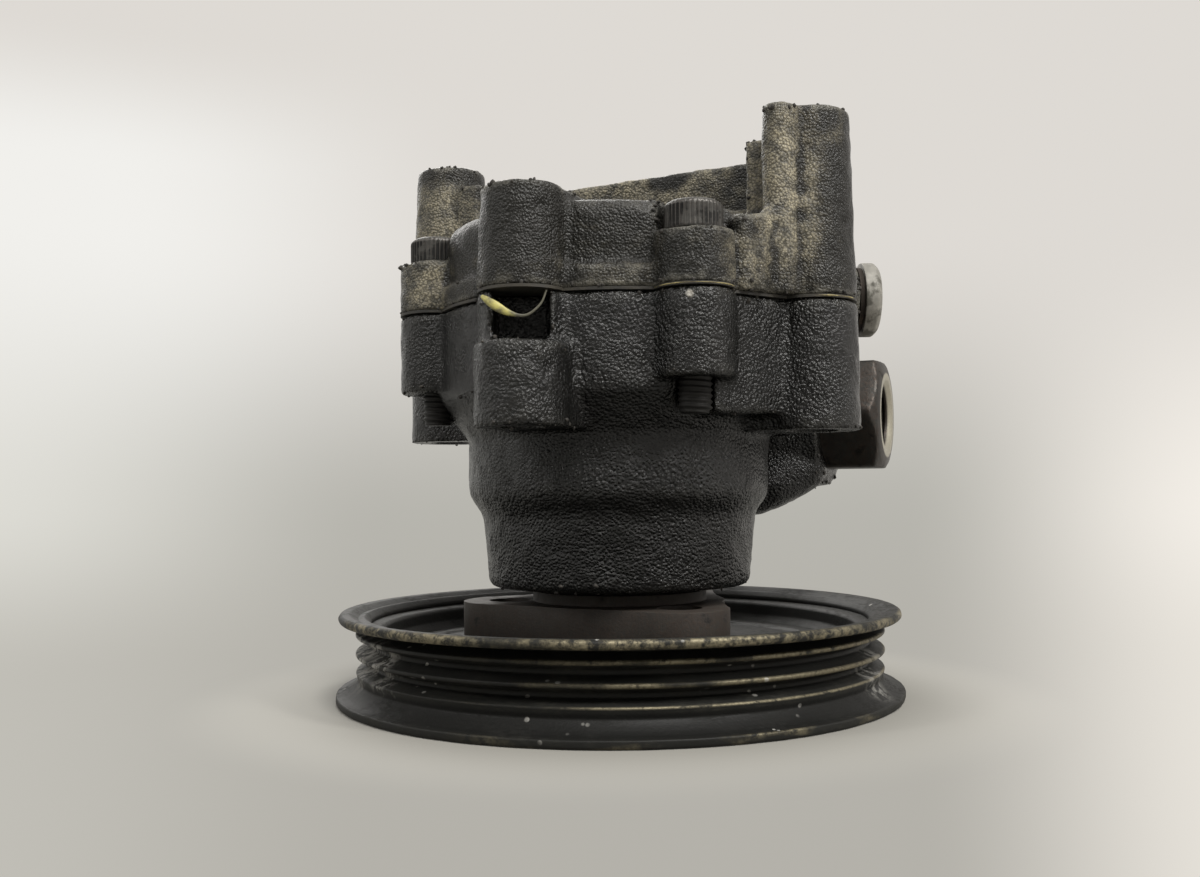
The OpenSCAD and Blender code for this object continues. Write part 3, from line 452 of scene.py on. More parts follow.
@dataclass(frozen=True)
class SteelFinish:
    """Machined or blackened steel with rust, grime and rubbed edges, and optionally a grime tone below a
    given level that also paints the shade there.
    """

    name: str
    steel: Colour
    grime: Colour
    grimy: float
    metallic: float
    roughness: float
    rust: Colour = RUST
    rusty: float = 0.0
    grain: Point = EVEN_SCALE
    grimy_and_shaded_below: Optional[float] = None
    ring: Optional[FaceRing] = None
    cloud_size: float = 4.0
    streak_size: float = 1.6
    fine_size: float = 0.5
    grime_at: Span = (0.72, 0.86)
    grime_reach: float = 0.5
    edge_at: Span = (0.55, 0.8)
    edge_share: float = 0.85
    shaded_below_share: float = 0.9
    streak_at: Span = (0.3, 0.75)
    streak_tone: float = 0.72
    rust_at: Span = (0.4, 0.7)
    crust_at: Span = (0.4, 0.62)
    crust_tone: float = 0.6
    dull_share: float = 0.6
    dull: float = 0.3
    fine_depth: float = 0.05
    streak_depth: float = 0.03

    def grimed(self, s: Sheet, clouds: Feed) -> Socket:
        """Where grime lies, and below a level where grime and painted shade lie.

        Args:
            s: the material under way.
            clouds: the cloudy value that it follows.

        Returns:
            The mask's socket.
        """
        rubbed = s.step(s.attribute("edge"), *self.edge_at)
        start, full = (value - self.grime_reach * self.grimy for value in self.grime_at)
        grime = s.both(s.step(clouds, start, full), s.less(s.both(rubbed, self.edge_share)))
        if self.grimy_and_shaded_below is None:
            return grime
        # Below the level the grime colour also stands for painted shade.
        below = s.step(s.axis_part(s.place, UP), (self.grimy_and_shaded_below + 1.0) * MM, self.grimy_and_shaded_below * MM)
        return s.either(grime, s.both(below, self.shaded_below_share))

    def material(self) -> bpy.types.Material:
        """Builds the steel's material.

        Returns:
            The material.
        """
        s = Sheet(self.name)
        clouds = s.noise(self.cloud_size, detail=5.0, rough=0.62, warp=0.3)
        streaks = s.noise(self.streak_size, detail=4.0, rough=0.6, stretch=self.grain)
        fine = s.noise(self.fine_size, detail=3.0, rough=0.6)
        grime = self.grimed(s, clouds)
        colour = s.mix(s.step(streaks, *self.streak_at), scaled(self.steel, self.streak_tone), self.steel)
        colour = s.mix(s.both(s.step(fine, *self.rust_at), self.rusty), colour, self.rust)
        crust = s.both(s.step(clouds, *self.crust_at), self.rusty)
        colour = s.mix(crust, colour, scaled(self.rust, self.crust_tone))
        colour = s.mix(grime, colour, self.grime)
        if self.ring is not None:
            colour = s.mix(self.ring.mask(s, clouds), colour, self.ring.colour)
        rough = s.line(s.either(grime, s.both(clouds, self.dull_share)), self.dull, self.roughness)
        relief = s.bump(streaks, self.streak_depth, s.bump(fine, self.fine_depth))
        return s.finish(Base_Color=colour, Roughness=rough, Normal=relief, Metallic=self.metallic)


@dataclass(frozen=True)
class PulleyPaint:
    """Black paint, worn to steel along rims and ribs, with dust and white bloom in the grooves, painted shade
    on the lower flare, and a lighter tone in the dish that is partly painted light.

    Heights are in mm above the pulley's foot. Each wear pair holds spans of the long and the fine pattern.
    """

    name: str = "pulley_black_paint"
    paint: Colour = (0.013, 0.013, 0.0118)
    metal: Colour = (0.21, 0.185, 0.125)
    dust: Colour = (0.03, 0.029, 0.024)
    bloom: Colour = (0.42, 0.41, 0.38)
    # The dish's tone is dust, set lighter than the paint as painted light where the dish lies in shade.
    dish_dust_and_light: Colour = (0.02, 0.02, 0.0185)
    foot: float = FLOOR_LEVEL
    tip: float = RIB_TIP
    upper_rim: float = UPPER_RIM
    lower_rim: float = LOWER_RIM
    lip_above: Span = (14.5, 14.9)
    lip_inset: Span = (0.9, 0.25)
    rim_below: Span = (2.6, 1.7)
    rim_inset: Span = (0.6, 0.15)
    ribs_below: Span = (14.2, 13.6)
    ribs_above: Span = (5.2, 5.6)
    ribs_inset: Span = (0.55, 0.12)
    ribs_outset: Span = (0.5, 0.1)
    right_from: Span = (-30.0, 5.0)
    lip_wear: tuple[Span, Span] = ((0.36, 0.56), (0.4, 0.6))
    rim_wear: tuple[Span, Span] = ((0.5, 0.62), (0.36, 0.54))
    rib_wear: tuple[Span, Span] = ((0.38, 0.54), (0.32, 0.5))
    dust_at: tuple[Span, Span] = ((0.42, 0.7), (0.35, 0.65))
    dust_share: float = 0.75
    dish_within: Span = (46.5, 45.5)
    dish_above: Span = (8.0, 9.0)
    lip_within: Span = (52.9, 52.5)
    lip_floor: Span = (14.9, 15.3)
    # The flare just above the foot is painted darker: painted shade on a face the lamps light from above.
    skirt_below: Span = (5.0, 4.4)
    skirt_above: Span = (1.2, 1.8)
    skirt_shade_share: float = 0.85
    skirt_shade_tone: float = 0.35
    speck_size: float = 2.6
    speck_at: Span = (0.2, 0.12)
    speck_field: Span = (0.56, 0.66)
    specks_from: Span = (46.0, 47.0)
    bloom_from: Span = (46.5, 47.2)
    bloom_below: Span = (14.0, 13.6)
    bloom_at: Span = (0.45, 0.56)
    bloom_share: float = 0.85
    bloom_spots: tuple[Spot, ...] = (
        Spot((-46.0, -17.0, -39.0), 9.0), Spot((-49.0, -6.0, -40.0), 8.0),
        Spot((44.0, -22.0, -43.0), 7.0, 0.5), Spot((-41.5, -28.0, -40.0), 6.0))
    metal_at: Span = (0.3, 0.7)
    metal_tone: float = 0.55
    metallic: float = 0.7
    roughness: float = 0.52
    dull: float = 0.3
    depth: float = 0.05
    shine: float = 0.16

    def worn(self, s: Sheet, side: Socket, radius: Socket, height: Socket, broken: Socket) -> Socket:
        """Where the paint is worn off.

        Args:
            s: the material under way.
            side: how far a point lies to the right.
            radius: its distance from the shaft's axis, in mm.
            height: its height above the foot, in mm.
            broken: a fine pattern that breaks the wear up.

        Returns:
            The mask's socket.
        """
        stretches = s.noise(size=22.0, detail=3.0, rough=0.6, stretch=(1.0, 1.0, 3.0))
        lip = s.both(s.step(height, *self.lip_above),
                     s.step(radius, *(self.upper_rim - inset for inset in self.lip_inset)))
        rim = s.both(s.step(height, *self.rim_below),
                     s.step(radius, *(self.lower_rim - inset for inset in self.rim_inset)))
        ribs = s.both(s.step(height, *self.ribs_below), s.step(height, *self.ribs_above),
                      s.step(radius, *(self.tip - inset for inset in self.ribs_inset)),
                      s.step(radius, *(self.tip + outset for outset in self.ribs_outset)))
        right = s.step(side, *scaled(self.right_from, MM))
        masks = []
        for place, (long, fine) in ((lip, self.lip_wear), (s.both(rim, right), self.rim_wear),
                                    (s.both(ribs, right), self.rib_wear)):
            masks.append(s.both(place, s.step(stretches, *long), s.step(broken, *fine)))
        return s.either(*masks)

    def whitened(self, s: Sheet, radius: Socket, height: Socket, broken: Socket) -> tuple[Socket, Socket]:
        """Where white bloom lies.

        Args:
            s: the material under way.
            radius: a point's distance from the shaft's axis, in mm.
            height: its height above the foot, in mm.
            broken: a fine pattern that breaks the bloom up.

        Returns:
            The masks of the stains and of single specks.
        """
        stains = s.either(*[spot.mask(s, broken) for spot in self.bloom_spots])
        stains = s.both(stains, s.step(broken, *self.bloom_at), s.step(radius, *self.bloom_from),
                        s.step(height, *self.bloom_below))
        fields = s.noise(size=16.0, detail=2.0, rough=0.5)
        specks = s.both(s.step(s.cells(self.speck_size), *self.speck_at), s.step(fields, *self.speck_field),
                        s.step(radius, *self.specks_from))
        return stains, specks

    def material(self) -> bpy.types.Material:
        """Builds the pulley's material.

        Returns:
            The material.
        """
        s = Sheet(self.name)
        x, y, z = s.add("ShaderNodeSeparateXYZ", {0: s.place}).outputs
        flat = s.add("ShaderNodeCombineXYZ", {0: x, 1: y}).outputs[0]
        radius = s.math("DIVIDE", s.vector("LENGTH", flat, result="Value"), MM)
        height = s.math("SUBTRACT", s.math("DIVIDE", z, MM), self.foot)
        broken = s.noise(size=2.4, detail=5.0, rough=0.68)
        fine = s.noise(size=0.6, detail=3.0, rough=0.65)
        clouds = s.noise(size=7.0, detail=4.0, rough=0.6)
        streaked = s.noise(size=1.4, detail=3.0, rough=0.6, stretch=(1.0, 1.0, 5.0))
        worn = self.worn(s, x, radius, height, broken)
        stains, specks = self.whitened(s, radius, height, broken)
        dusty = s.both(s.step(clouds, *self.dust_at[0]), s.step(streaked, *self.dust_at[1]), self.dust_share)
        # Inside the dish and the lip, one even tone stands for dust and for painted light in the dish's
        # shade.
        inside = s.either(s.both(s.step(radius, *self.dish_within), s.step(height, *self.dish_above)),
                          s.both(s.step(radius, *self.lip_within), s.step(height, *self.lip_floor)))
        # Painted shade on the lower flare.
        painted_skirt_shade = s.both(s.step(height, *self.skirt_below), s.step(height, *self.skirt_above), self.skirt_shade_share)
        colour = s.mix(inside, s.mix(dusty, self.paint, self.dust), self.dish_dust_and_light)
        colour = s.mix(painted_skirt_shade, colour, scaled(self.paint, self.skirt_shade_tone))
        tone = s.mix(s.step(fine, *self.metal_at), scaled(self.metal, self.metal_tone), self.metal)
        colour = s.mix(worn, colour, tone)
        colour = s.mix(s.both(s.either(stains, specks), self.bloom_share), colour, self.bloom)
        rough = s.line(s.either(dusty, stains), self.dull, self.roughness)
        relief = s.bump(fine, self.depth, s.bump(s.less(worn), self.depth))
        return s.finish(Base_Color=colour, Roughness=rough, Normal=relief,
                        Metallic=s.both(worn, self.metallic), Specular_IOR_Level=self.shine)


@dataclass(frozen=True)
class SoftFinish:
    """Gasket paste, rubber or dirt: two tones in clouds, with a soft grain."""

    name: str
    light: Colour
    deep: Colour
    cloud_size: float
    roughness: float
    depth: float = 0.05
    fade: Optional[Span] = None
    fine_size: float = 0.4
    deep_at: Span = (0.36, 0.66)
    rough_swing: float = 0.2

    def material(self) -> bpy.types.Material:
        """Builds the soft material.

        Returns:
            The material.
        """
        s = Sheet(self.name)
        fine = s.noise(self.fine_size, detail=3.0, rough=0.6)
        share = s.step(s.noise(self.cloud_size, detail=4.0, rough=0.65), *self.deep_at)
        if self.fade is not None:
            share = s.either(share, s.step(s.axis_part(s.place, ACROSS), *scaled(self.fade, MM)))
        rough = s.line(fine, self.rough_swing, self.roughness - self.rough_swing / 2)
        return s.finish(Base_Color=s.mix(share, self.light, self.deep), Roughness=rough,
                        Normal=s.bump(fine, self.depth))


class LatticeNoise:
    """Smooth seeded noise in space."""

    SIDE = 32

    def __init__(self, seed: int) -> None:
        """Fills the table from a seed."""
        self.table = np.random.default_rng(seed).uniform(-1.0, 1.0, (self.SIDE,) * 3)

    def at(self, points: np.ndarray, size: float) -> np.ndarray:
        """The noise at some points.

        Args:
            points: their places in metres.
            size: the pattern's size in mm.

        Returns:
            A value from -1 to 1 for each.
        """
        spots = points / (size * MM)
        cell = np.floor(spots).astype(int)
        part = spots - cell
        part = part * part * (3.0 - 2.0 * part)
        total = np.zeros(len(points))
        for corner in np.ndindex(2, 2, 2):
            share = np.prod(np.where(corner, part, 1.0 - part), axis=1)
            i, j, k = ((cell + corner) % self.SIDE).T
            total += share * self.table[i, j, k]
        return total


class Skin:
    """A mesh's points, for smoothing and relief."""

    def __init__(self, mesh: bpy.types.Mesh) -> None:
        """Reads a mesh's points and edges.

        Args:
            mesh: the mesh to work on.
        """
        self.mesh = mesh
        points = np.zeros(len(mesh.vertices) * 3)
        mesh.vertices.foreach_get("co", points)
        self.points = points.reshape(-1, 3)
        edges = np.zeros(len(mesh.edges) * 2, np.int64)
        mesh.edges.foreach_get("vertices", edges)
        self.edges = edges.reshape(-1, 2)
        self.degree = np.maximum(np.bincount(self.edges.ravel(), minlength=len(self.points)), 1)

    def averaged(self, values: np.ndarray) -> np.ndarray:
        """Means over each point's neighbours.

        Args:
            values: one row for each point.

        Returns:
            The means, in the same layout.
        """
        a, b = self.edges.T
        count = len(self.points)
        columns = values.reshape(count, -1)
        sums = [np.bincount(a, column[b], count) + np.bincount(b, column[a], count) for column in columns.T]
        return (np.stack(sums, axis=1) / self.degree[:, None]).reshape(values.shape)

    def smoothed(self, rounds: int, free: np.ndarray) -> np.ndarray:
        """The points after some rounds of smoothing.

        Args:
            rounds: how many.
            free: how freely each point may move, from 0 to 1.

        Returns:
            The new places.
        """
        points = self.points.copy()
        for _ in range(rounds):
            points += 0.5 * free[:, None] * (self.averaged(points) - points)
        return points

    def normals(self) -> np.ndarray:
        """The points' normals.

        Returns:
            One row for each point.
        """
        self.store()
        out = np.zeros(len(self.points) * 3)
        self.mesh.vertex_normals.foreach_get("vector", out)
        return out.reshape(-1, 3)

    def store(self) -> None:
        """Writes the points back to the mesh."""
        self.mesh.vertices.foreach_set("co", self.points.ravel())
        self.mesh.update()

    def note(self, values: np.ndarray) -> None:
        """Stores each point's edge value, for the materials to read."""
        layer = self.mesh.attributes.new("edge", "FLOAT", "POINT")
        layer.data.foreach_set("value", values.astype(np.float32))

    def note_plain(self) -> None:
        """Stores that no point is on an edge or in a hollow."""
        self.note(np.full(len(self.points), NO_EDGE))

    def note_edges(self, rounds: int, reach: float) -> np.ndarray:
        """Stores how sharp the surface is: above 0.5 on edges, below it in hollows.

        Args:
            rounds: how far around a point is looked at.
            reach: the height in mm that counts as a full edge.

        Returns:
            The value at each point.
        """
        flat = self.smoothed(rounds, np.ones(len(self.points)))
        height = np.einsum("ij,ij->i", self.points - flat, self.normals())
        values = np.clip(NO_EDGE + 0.5 * height / (reach * MM), 0.0, 1.0)
        self.note(values)
        return values


def shown(name: str, data: Any) -> bpy.types.Object:
    """Puts a mesh, lamp or camera into the scene.

    Args:
        name: the object's name.
        data: what it shows.

    Returns:
        The new object.
    """
    item = bpy.data.objects.new(name, data)
    bpy.context.scene.collection.objects.link(item)
    return item


def new_piece(name: str, mesh: bpy.types.Mesh, material: bpy.types.Material, body: Body,
              nodes: Sequence[str] = ()) -> bpy.types.Object:
    """Puts a finished mesh into the scene as a piece of the pump.

    Args:
        name: the piece's name.
        mesh: its mesh, in the part's frame.
        material: its finish.
        body: the body it moves with.
        nodes: the solids that it stands for.

    Returns:
        The new object.
    """
    mesh.materials.clear()
    mesh.materials.append(material)
    mesh.polygons.foreach_set("use_smooth", np.full(len(mesh.polygons), True))
    mesh.update()
    piece = shown(name, mesh)
    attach(piece, body.value)
    if nodes:
        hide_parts(*nodes)
    LOG.info("%s: %d faces on %s", name, len(mesh.polygons), body.value)
    return piece


def mesh_of(name: str, points: Sequence[Sequence[float]], faces: Sequence[Sequence[int]]) -> bpy.types.Mesh:
    """A mesh from points and faces.

    Args:
        name: the mesh's name.
        points: its points in metres.
        faces: each face's point numbers.

    Returns:
        The mesh.
    """
    mesh = bpy.data.meshes.new(name)
    mesh.from_pydata([tuple(p) for p in points], [], [tuple(f) for f in faces])
    mesh.validate()
    return mesh


def mesh_from(work: bmesh.types.BMesh, name: str) -> bpy.types.Mesh:
    """Turns finished mesh work into a mesh.

    Args:
        work: the work, which is freed.
        name: the mesh's name.

    Returns:
        The mesh.
    """
    mesh = bpy.data.meshes.new(name)
    work.to_mesh(mesh)
    work.free()
    return mesh


def welded(node: str, gap: float = 0.0005) -> bpy.types.Mesh:
    """A copy of a solid's mesh with its seams closed.

    Args:
        node: the solid's name.
        gap: how far apart points may be to be one, in mm.

    Returns:
        The copy.
    """
    work = bmesh.new()
    work.from_mesh(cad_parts[node].data)
    bmesh.ops.remove_doubles(work, verts=work.verts, dist=gap * MM)
    return mesh_from(work, node + "_copy")


def joined(name: str, meshes: Iterable[bpy.types.Mesh]) -> bpy.types.Mesh:
    """Several meshes as one.

    Args:
        name: the new mesh's name.
        meshes: the meshes to join.

    Returns:
        The new mesh.
    """
    work = bmesh.new()
    for mesh in meshes:
        work.from_mesh(mesh)
    return mesh_from(work, name)


def moved(mesh: bpy.types.Mesh, place: Matrix) -> bpy.types.Mesh:
    """Moves a mesh.

    Args:
        mesh: the mesh to move.
        place: where its origin goes.

    Returns:
        The same mesh.
    """
    mesh.transform(place)
    mesh.update()
    return mesh


def shifted(x: float, y: float, z: float) -> Matrix:
    """A move by some mm."""
    return Matrix.Translation((x * MM, y * MM, z * MM))


def voxelled(mesh: bpy.types.Mesh, voxel: float) -> bpy.types.Mesh:
    """Fuses overlapping shells into one even mesh.

    Args:
        mesh: the shells.
        voxel: the new mesh's spacing in mm.

    Returns:
        The new mesh.
    """
    holder = shown("holder", mesh)
    change = holder.modifiers.new("fuse", "REMESH")
    change.mode = "VOXEL"
    change.voxel_size = voxel * MM
    made = bpy.data.meshes.new_from_object(holder.evaluated_get(bpy.context.evaluated_depsgraph_get()))
    bpy.data.objects.remove(holder)
    return made


def rounded(corners: Sequence[Span], radius: float, steps: int, most: float = 0.42) -> list[Span]:
    """An open outline with its corners rounded.

    Args:
        corners: the outline's corners.
        radius: the rounding in the outline's units.
        steps: points at each corner.
        most: the largest share of a side that a rounding may take.

    Returns:
        The new outline.
    """
    out = [corners[0]]
    for before, here, after in zip(corners, corners[1:], corners[2:]):
        corner = np.array(here, float)
        sides = [np.array(other, float) - corner for other in (before, after)]
        lengths = [np.linalg.norm(side) for side in sides]
        cuts = [min(radius, most * length) / length for length in lengths]
        start, end = (corner + side * cut for side, cut in zip(sides, cuts))
        for t in np.linspace(0.0, 1.0, steps):
            out.append(tuple((1 - t) ** 2 * start + 2 * t * (1 - t) * corner + t * t * end))
    return out + [corners[-1]]


def turned(name: str, rings: Sequence[Ring], sides: int, closed: bool = False) -> bpy.types.Mesh:
    """A turned or milled mesh around +Z, in mm, from rings of any plan.

    Args:
        name: the mesh's name.
        rings: for each ring, its radius as a function of the angle, and its height.
        sides: points in each ring.
        closed: whether the last ring joins the first.

    Returns:
        The mesh, in metres.
    """
    angles = np.arange(sides) * 2.0 * math.pi / sides
    points = []
    for radius, z in rings:
        reach = radius(angles)
        points.append(np.stack([reach * np.cos(angles), reach * np.sin(angles), np.full(sides, z)], axis=1))
    faces = []
    count = len(rings)
    for k in range(count if closed else count - 1):
        low, high = k * sides, ((k + 1) % count) * sides
        faces += [(low + j, low + (j + 1) % sides, high + (j + 1) % sides, high + j) for j in range(sides)]
    return mesh_of(name, np.concatenate(points) * MM, faces)


def tube_faces(count: int, sides: int, flipped: bool = False) -> list[tuple[int, ...]]:
    """The faces of a tube with closed ends.

    Args:
        count: how many rings of points it has.
        sides: points in each ring.
        flipped: whether its faces run the other way round.

    Returns:
        Each face's point numbers.
    """
    faces: list[tuple[int, ...]] = []
    for k in range(count - 1):
        for j in range(sides):
            a, b = k * sides + j, k * sides + (j + 1) % sides
            faces.append((a, a + sides, b + sides, b) if flipped else (a, b, b + sides, a + sides))
    first, last = tuple(range(sides)), tuple(range((count - 1) * sides, count * sides))
    return faces + ([first, last[::-1]] if flipped else [first[::-1], last])


def even(radius: float) -> RingRadius:
    """A round ring's radius."""
    return lambda angles: np.full(len(angles), radius)


def hexagonal(flats: float, limit: float = math.inf, soft: float = 0.0) -> RingRadius:
    """A hexagon ring's radius, cut to a circle.

    Args:
        flats: its width across flats.
        limit: the circle's radius.
        soft: how far the corners are blunted.

    Returns:
        The radius as a function of the angle.
    """
    most = min(flats / 2 / math.cos(math.pi / 6) - soft, limit)

    def radius(angles: np.ndarray) -> np.ndarray:
        """The hexagon's reach at some angles."""
        turn = (angles + math.pi / 6) % (math.pi / 3) - math.pi / 6
        return np.minimum(flats / 2 / np.cos(turn), most)
    return radius


def zigzag(turns: np.ndarray) -> np.ndarray:
    """A wave of straight flanks: 1 at each whole turn, 0 half way."""
    return np.abs(turns % 1.0 * 2.0 - 1.0)


@dataclass
class Casting:
    """A sand-rough casting: the solids' own shape with soft edges, a wavy skin and pits.

    Each rib has its centre, its radius and its two levels, and each swell its centre and its radius.
    Each wave has its height and its size.
    """

    nodes: tuple[str, ...]
    piece: str
    slot: Slot
    finish: CastFinish
    flat_levels: tuple[float, ...]
    seed: int
    inner_radius: float
    voxel: float = 0.67
    rounds: int = 5
    ribs: tuple[tuple[float, float, float, float, float], ...] = ()
    swells: tuple[tuple[float, float, float, float], ...] = ()
    face_reach: float = 0.5
    least_free: float = 0.12
    waves: tuple[Span, Span, Span] = ((0.16, 5.5), (0.096, 2.3), (0.1, 1.25))
    edge_rounds: int = 24
    edge_reach: float = 0.55
    pits: int = 90
    pit_sizes: Span = (0.5, 1.1)
    pit_depths: Span = (0.12, 0.34)
    pit_cluster: Optional[Point] = None
    cluster_pits: int = 16
    cluster_reach: float = 6.0
    rib_sides: int = 24
    rib_end: float = 0.02
    edges: np.ndarray = field(default_factory=lambda: np.zeros(0))
    points: np.ndarray = field(default_factory=lambda: np.zeros((0, 3)))

    def held(self, points: np.ndarray) -> np.ndarray:
        """How firmly each point keeps its place: the machined faces and the bore do.

        Args:
            points: the points in metres.

        Returns:
            A value from 0 to 1 for each.
        """
        near = np.min([np.abs(points[:, 2] / MM - level) for level in self.flat_levels], axis=0)
        faces = np.clip(1.0 - near / self.face_reach, 0.0, 1.0)
        bore = np.hypot(points[:, 0], points[:, 1]) / MM < self.inner_radius
        return np.maximum(faces, bore)

    def rib(self, x: float, y: float, radius: float, low: float, high: float) -> bpy.types.Mesh:
        """A round upright rib.

        Args:
            x: its centre along X in mm.
            y: its centre along Y.
            radius: its radius.
            low: the level where it starts.
            high: the level where it ends.

        Returns:
            Its mesh.
        """
        outline = ((self.rib_end, low), (radius, low), (radius, high), (self.rib_end, high))
        rings = [(even(r), z) for r, z in outline]
        return moved(turned("rib", rings, self.rib_sides), shifted(x, y, 0.0))

    def swell(self, x: float, y: float, z: float, radius: float) -> bpy.types.Mesh:
        """A round swelling of the casting.

        Args:
            x: its centre along X in mm.
            y: its centre along Y.
            z: its centre along Z.
            radius: its radius.

        Returns:
            Its mesh.
        """
        work = bmesh.new()
        bmesh.ops.create_icosphere(work, subdivisions=3, radius=radius * MM)
        return moved(mesh_from(work, "swell"), shifted(x, y, z))

    def pitted(self, points: np.ndarray, free: np.ndarray) -> np.ndarray:
        """Small casting pits.

        Args:
            points: the casting's points in metres.
            free: how freely each may move, from 0 to 1.

        Returns:
            The pits' depth at each point, in mm.
        """
        rng = np.random.default_rng(self.seed + 7)
        depth = np.zeros(len(points))
        chosen = list(rng.choice(len(points), self.pits, replace=False))
        if self.pit_cluster is not None:
            near = np.linalg.norm(points - np.array(self.pit_cluster) * MM, axis=1) < self.cluster_reach * MM
            chosen += list(rng.choice(np.flatnonzero(near), self.cluster_pits, replace=False))
        for at in chosen:
            size = rng.uniform(*self.pit_sizes)
            gap = np.sum(((points - points[at]) / (size * MM)) ** 2, axis=1)
            depth += rng.uniform(*self.pit_depths) * np.exp(-gap) * free
        return depth

    def build(self) -> bpy.types.Mesh:
        """Makes the casting's mesh, and keeps its points and edges for the dirt.

        Returns:
            The mesh.
        """
        shells = [*(welded(node) for node in self.nodes), *(self.rib(*rib) for rib in self.ribs),
                  *(self.swell(*swell) for swell in self.swells)]
        mesh = voxelled(joined(self.piece, shells), self.voxel)
        skin = Skin(mesh)
        free = 1.0 - self.held(skin.points)
        skin.points = skin.smoothed(self.rounds, np.maximum(free, self.least_free))
        noise, other = LatticeNoise(self.seed), LatticeNoise(self.seed + 1)
        lift = sum(height * pattern.at(skin.points, size)
                   for pattern, (height, size) in zip((noise, other, noise), self.waves))
        lift = lift * free - self.pitted(skin.points, free)
        skin.points += skin.normals() * (lift * MM)[:, None]
        self.edges = skin.note_edges(self.edge_rounds, self.edge_reach)
        skin.store()
        self.points = skin.points
        return mesh

    def dress(self) -> bpy.types.Object:
        """Builds the casting and puts it in the solids' place."""
        return new_piece(self.piece, self.build(), self.finish.material(), Body.HOUSING,
                         self.nodes)


@dataclass
class CoverBolts:
    """Socket head bolts with knurled heads and rolled threads.

    Each point of the head's foot and top has its inset, its distance from that end and its knurls' share.
    """

    finish: SteelFinish
    angles: tuple[float, ...] = (14.0, 125.0, 189.0, 291.8)
    circle: float = 34.5
    seat: float = 32.3
    turn_step: float = 0.7
    head_radius: float = 5.0
    head_height: float = 5.0
    head_foot: tuple[Point, ...] = ((0.35, 0.0, 0.0), (0.05, 0.35, 0.4), (0.0, 0.7, 1.0))
    head_top: tuple[Point, ...] = ((0.0, 1.0, 1.0), (0.05, 0.7, 0.5), (0.4, 0.3, 0.0), (0.9, 0.0, 0.0))
    knurls: int = 38
    knurl_depth: float = 0.3
    socket: float = 5.0
    socket_chamfer: float = 0.25
    socket_drill: tuple[Span, ...] = ((1.4, 0.3), (0.05, 0.8))
    thread_radius: float = 3.0
    thread_pitch: float = 1.0
    thread_depth: float = 0.42
    thread_steps: int = 6
    run_out: Span = (0.8, 0.5)
    length: float = 30.0
    end_radius: float = 0.05
    shank_sides: int = 28
    edge_rounds: int = 3
    edge_reach: float = 0.12

    def knurled(self, inset: float, share: float) -> RingRadius:
        """A ring with the head's ridges.

        Args:
            inset: how far it lies inside the head's radius.
            share: how deep the ridges are, from 0 to 1.

        Returns:
            The radius as a function of the angle.
        """
        def at(angles: np.ndarray) -> np.ndarray:
            """The ridged reach at some angles."""
            ridges = zigzag(angles * self.knurls / (2 * math.pi))
            return self.head_radius - inset - share * self.knurl_depth * ridges
        return at

    def threaded(self, z: float) -> RingRadius:
        """A ring of the thread.

        Args:
            z: its height.

        Returns:
            The radius as a function of the angle.
        """
        fade = max(0.0, 1.0 - (z + self.length) / self.run_out[0])

        def at(angles: np.ndarray) -> np.ndarray:
            """The thread's reach at some angles."""
            flanks = zigzag(z / self.thread_pitch + angles / (2 * math.pi))
            return self.thread_radius - self.thread_depth * flanks - self.run_out[1] * fade
        return at

    def head(self) -> bpy.types.Mesh:
        """The head with its hexagon socket.

        Returns:
            The mesh, with its seat at the origin.
        """
        top, floor = self.head_height, self.head_height / 2
        rings = [(even(self.thread_radius), 0.0)]
        rings += [(self.knurled(inset, share), z) for inset, z, share in self.head_foot]
        rings += [(self.knurled(inset, share), top - drop) for inset, drop, share in self.head_top]
        rings += [(hexagonal(self.socket + 2 * self.socket_chamfer), top),
                  (hexagonal(self.socket), top - self.socket_chamfer), (hexagonal(self.socket), floor)]
        rings += [(even(radius), floor - drop) for radius, drop in self.socket_drill]
        return turned("bolt_head", rings, self.knurls * 4)

    def shank(self) -> bpy.types.Mesh:
        """The threaded shank.

        Returns:
            The mesh, with the head's seat at the origin.
        """
        count = round(self.length / self.thread_pitch * self.thread_steps)
        levels = np.linspace(-self.length, 0.0, count + 1)
        rings = [(even(self.end_radius), -self.length)]
        rings += [(self.threaded(float(z)), float(z)) for z in levels]
        return turned("bolt_shank", rings, self.shank_sides)

    def dress(self) -> bpy.types.Object:
        """Builds all the bolts in the solids' place.

        Returns:
            The piece.
        """
        parts = []
        for number, angle in enumerate(self.angles):
            turn = math.radians(angle)
            place = shifted(self.circle * math.cos(turn), self.circle * math.sin(turn), self.seat)
            place = place @ Matrix.Rotation(self.turn_step * number, 4, "Z")
            parts += [moved(self.head(), place), moved(self.shank(), place)]
        mesh = joined("cover_bolt_set", parts)
        Skin(mesh).note_edges(self.edge_rounds, self.edge_reach)
        return new_piece("cover_bolt_set", mesh, self.finish.material(), Body.HOUSING,
                         ["cover_bolts"])


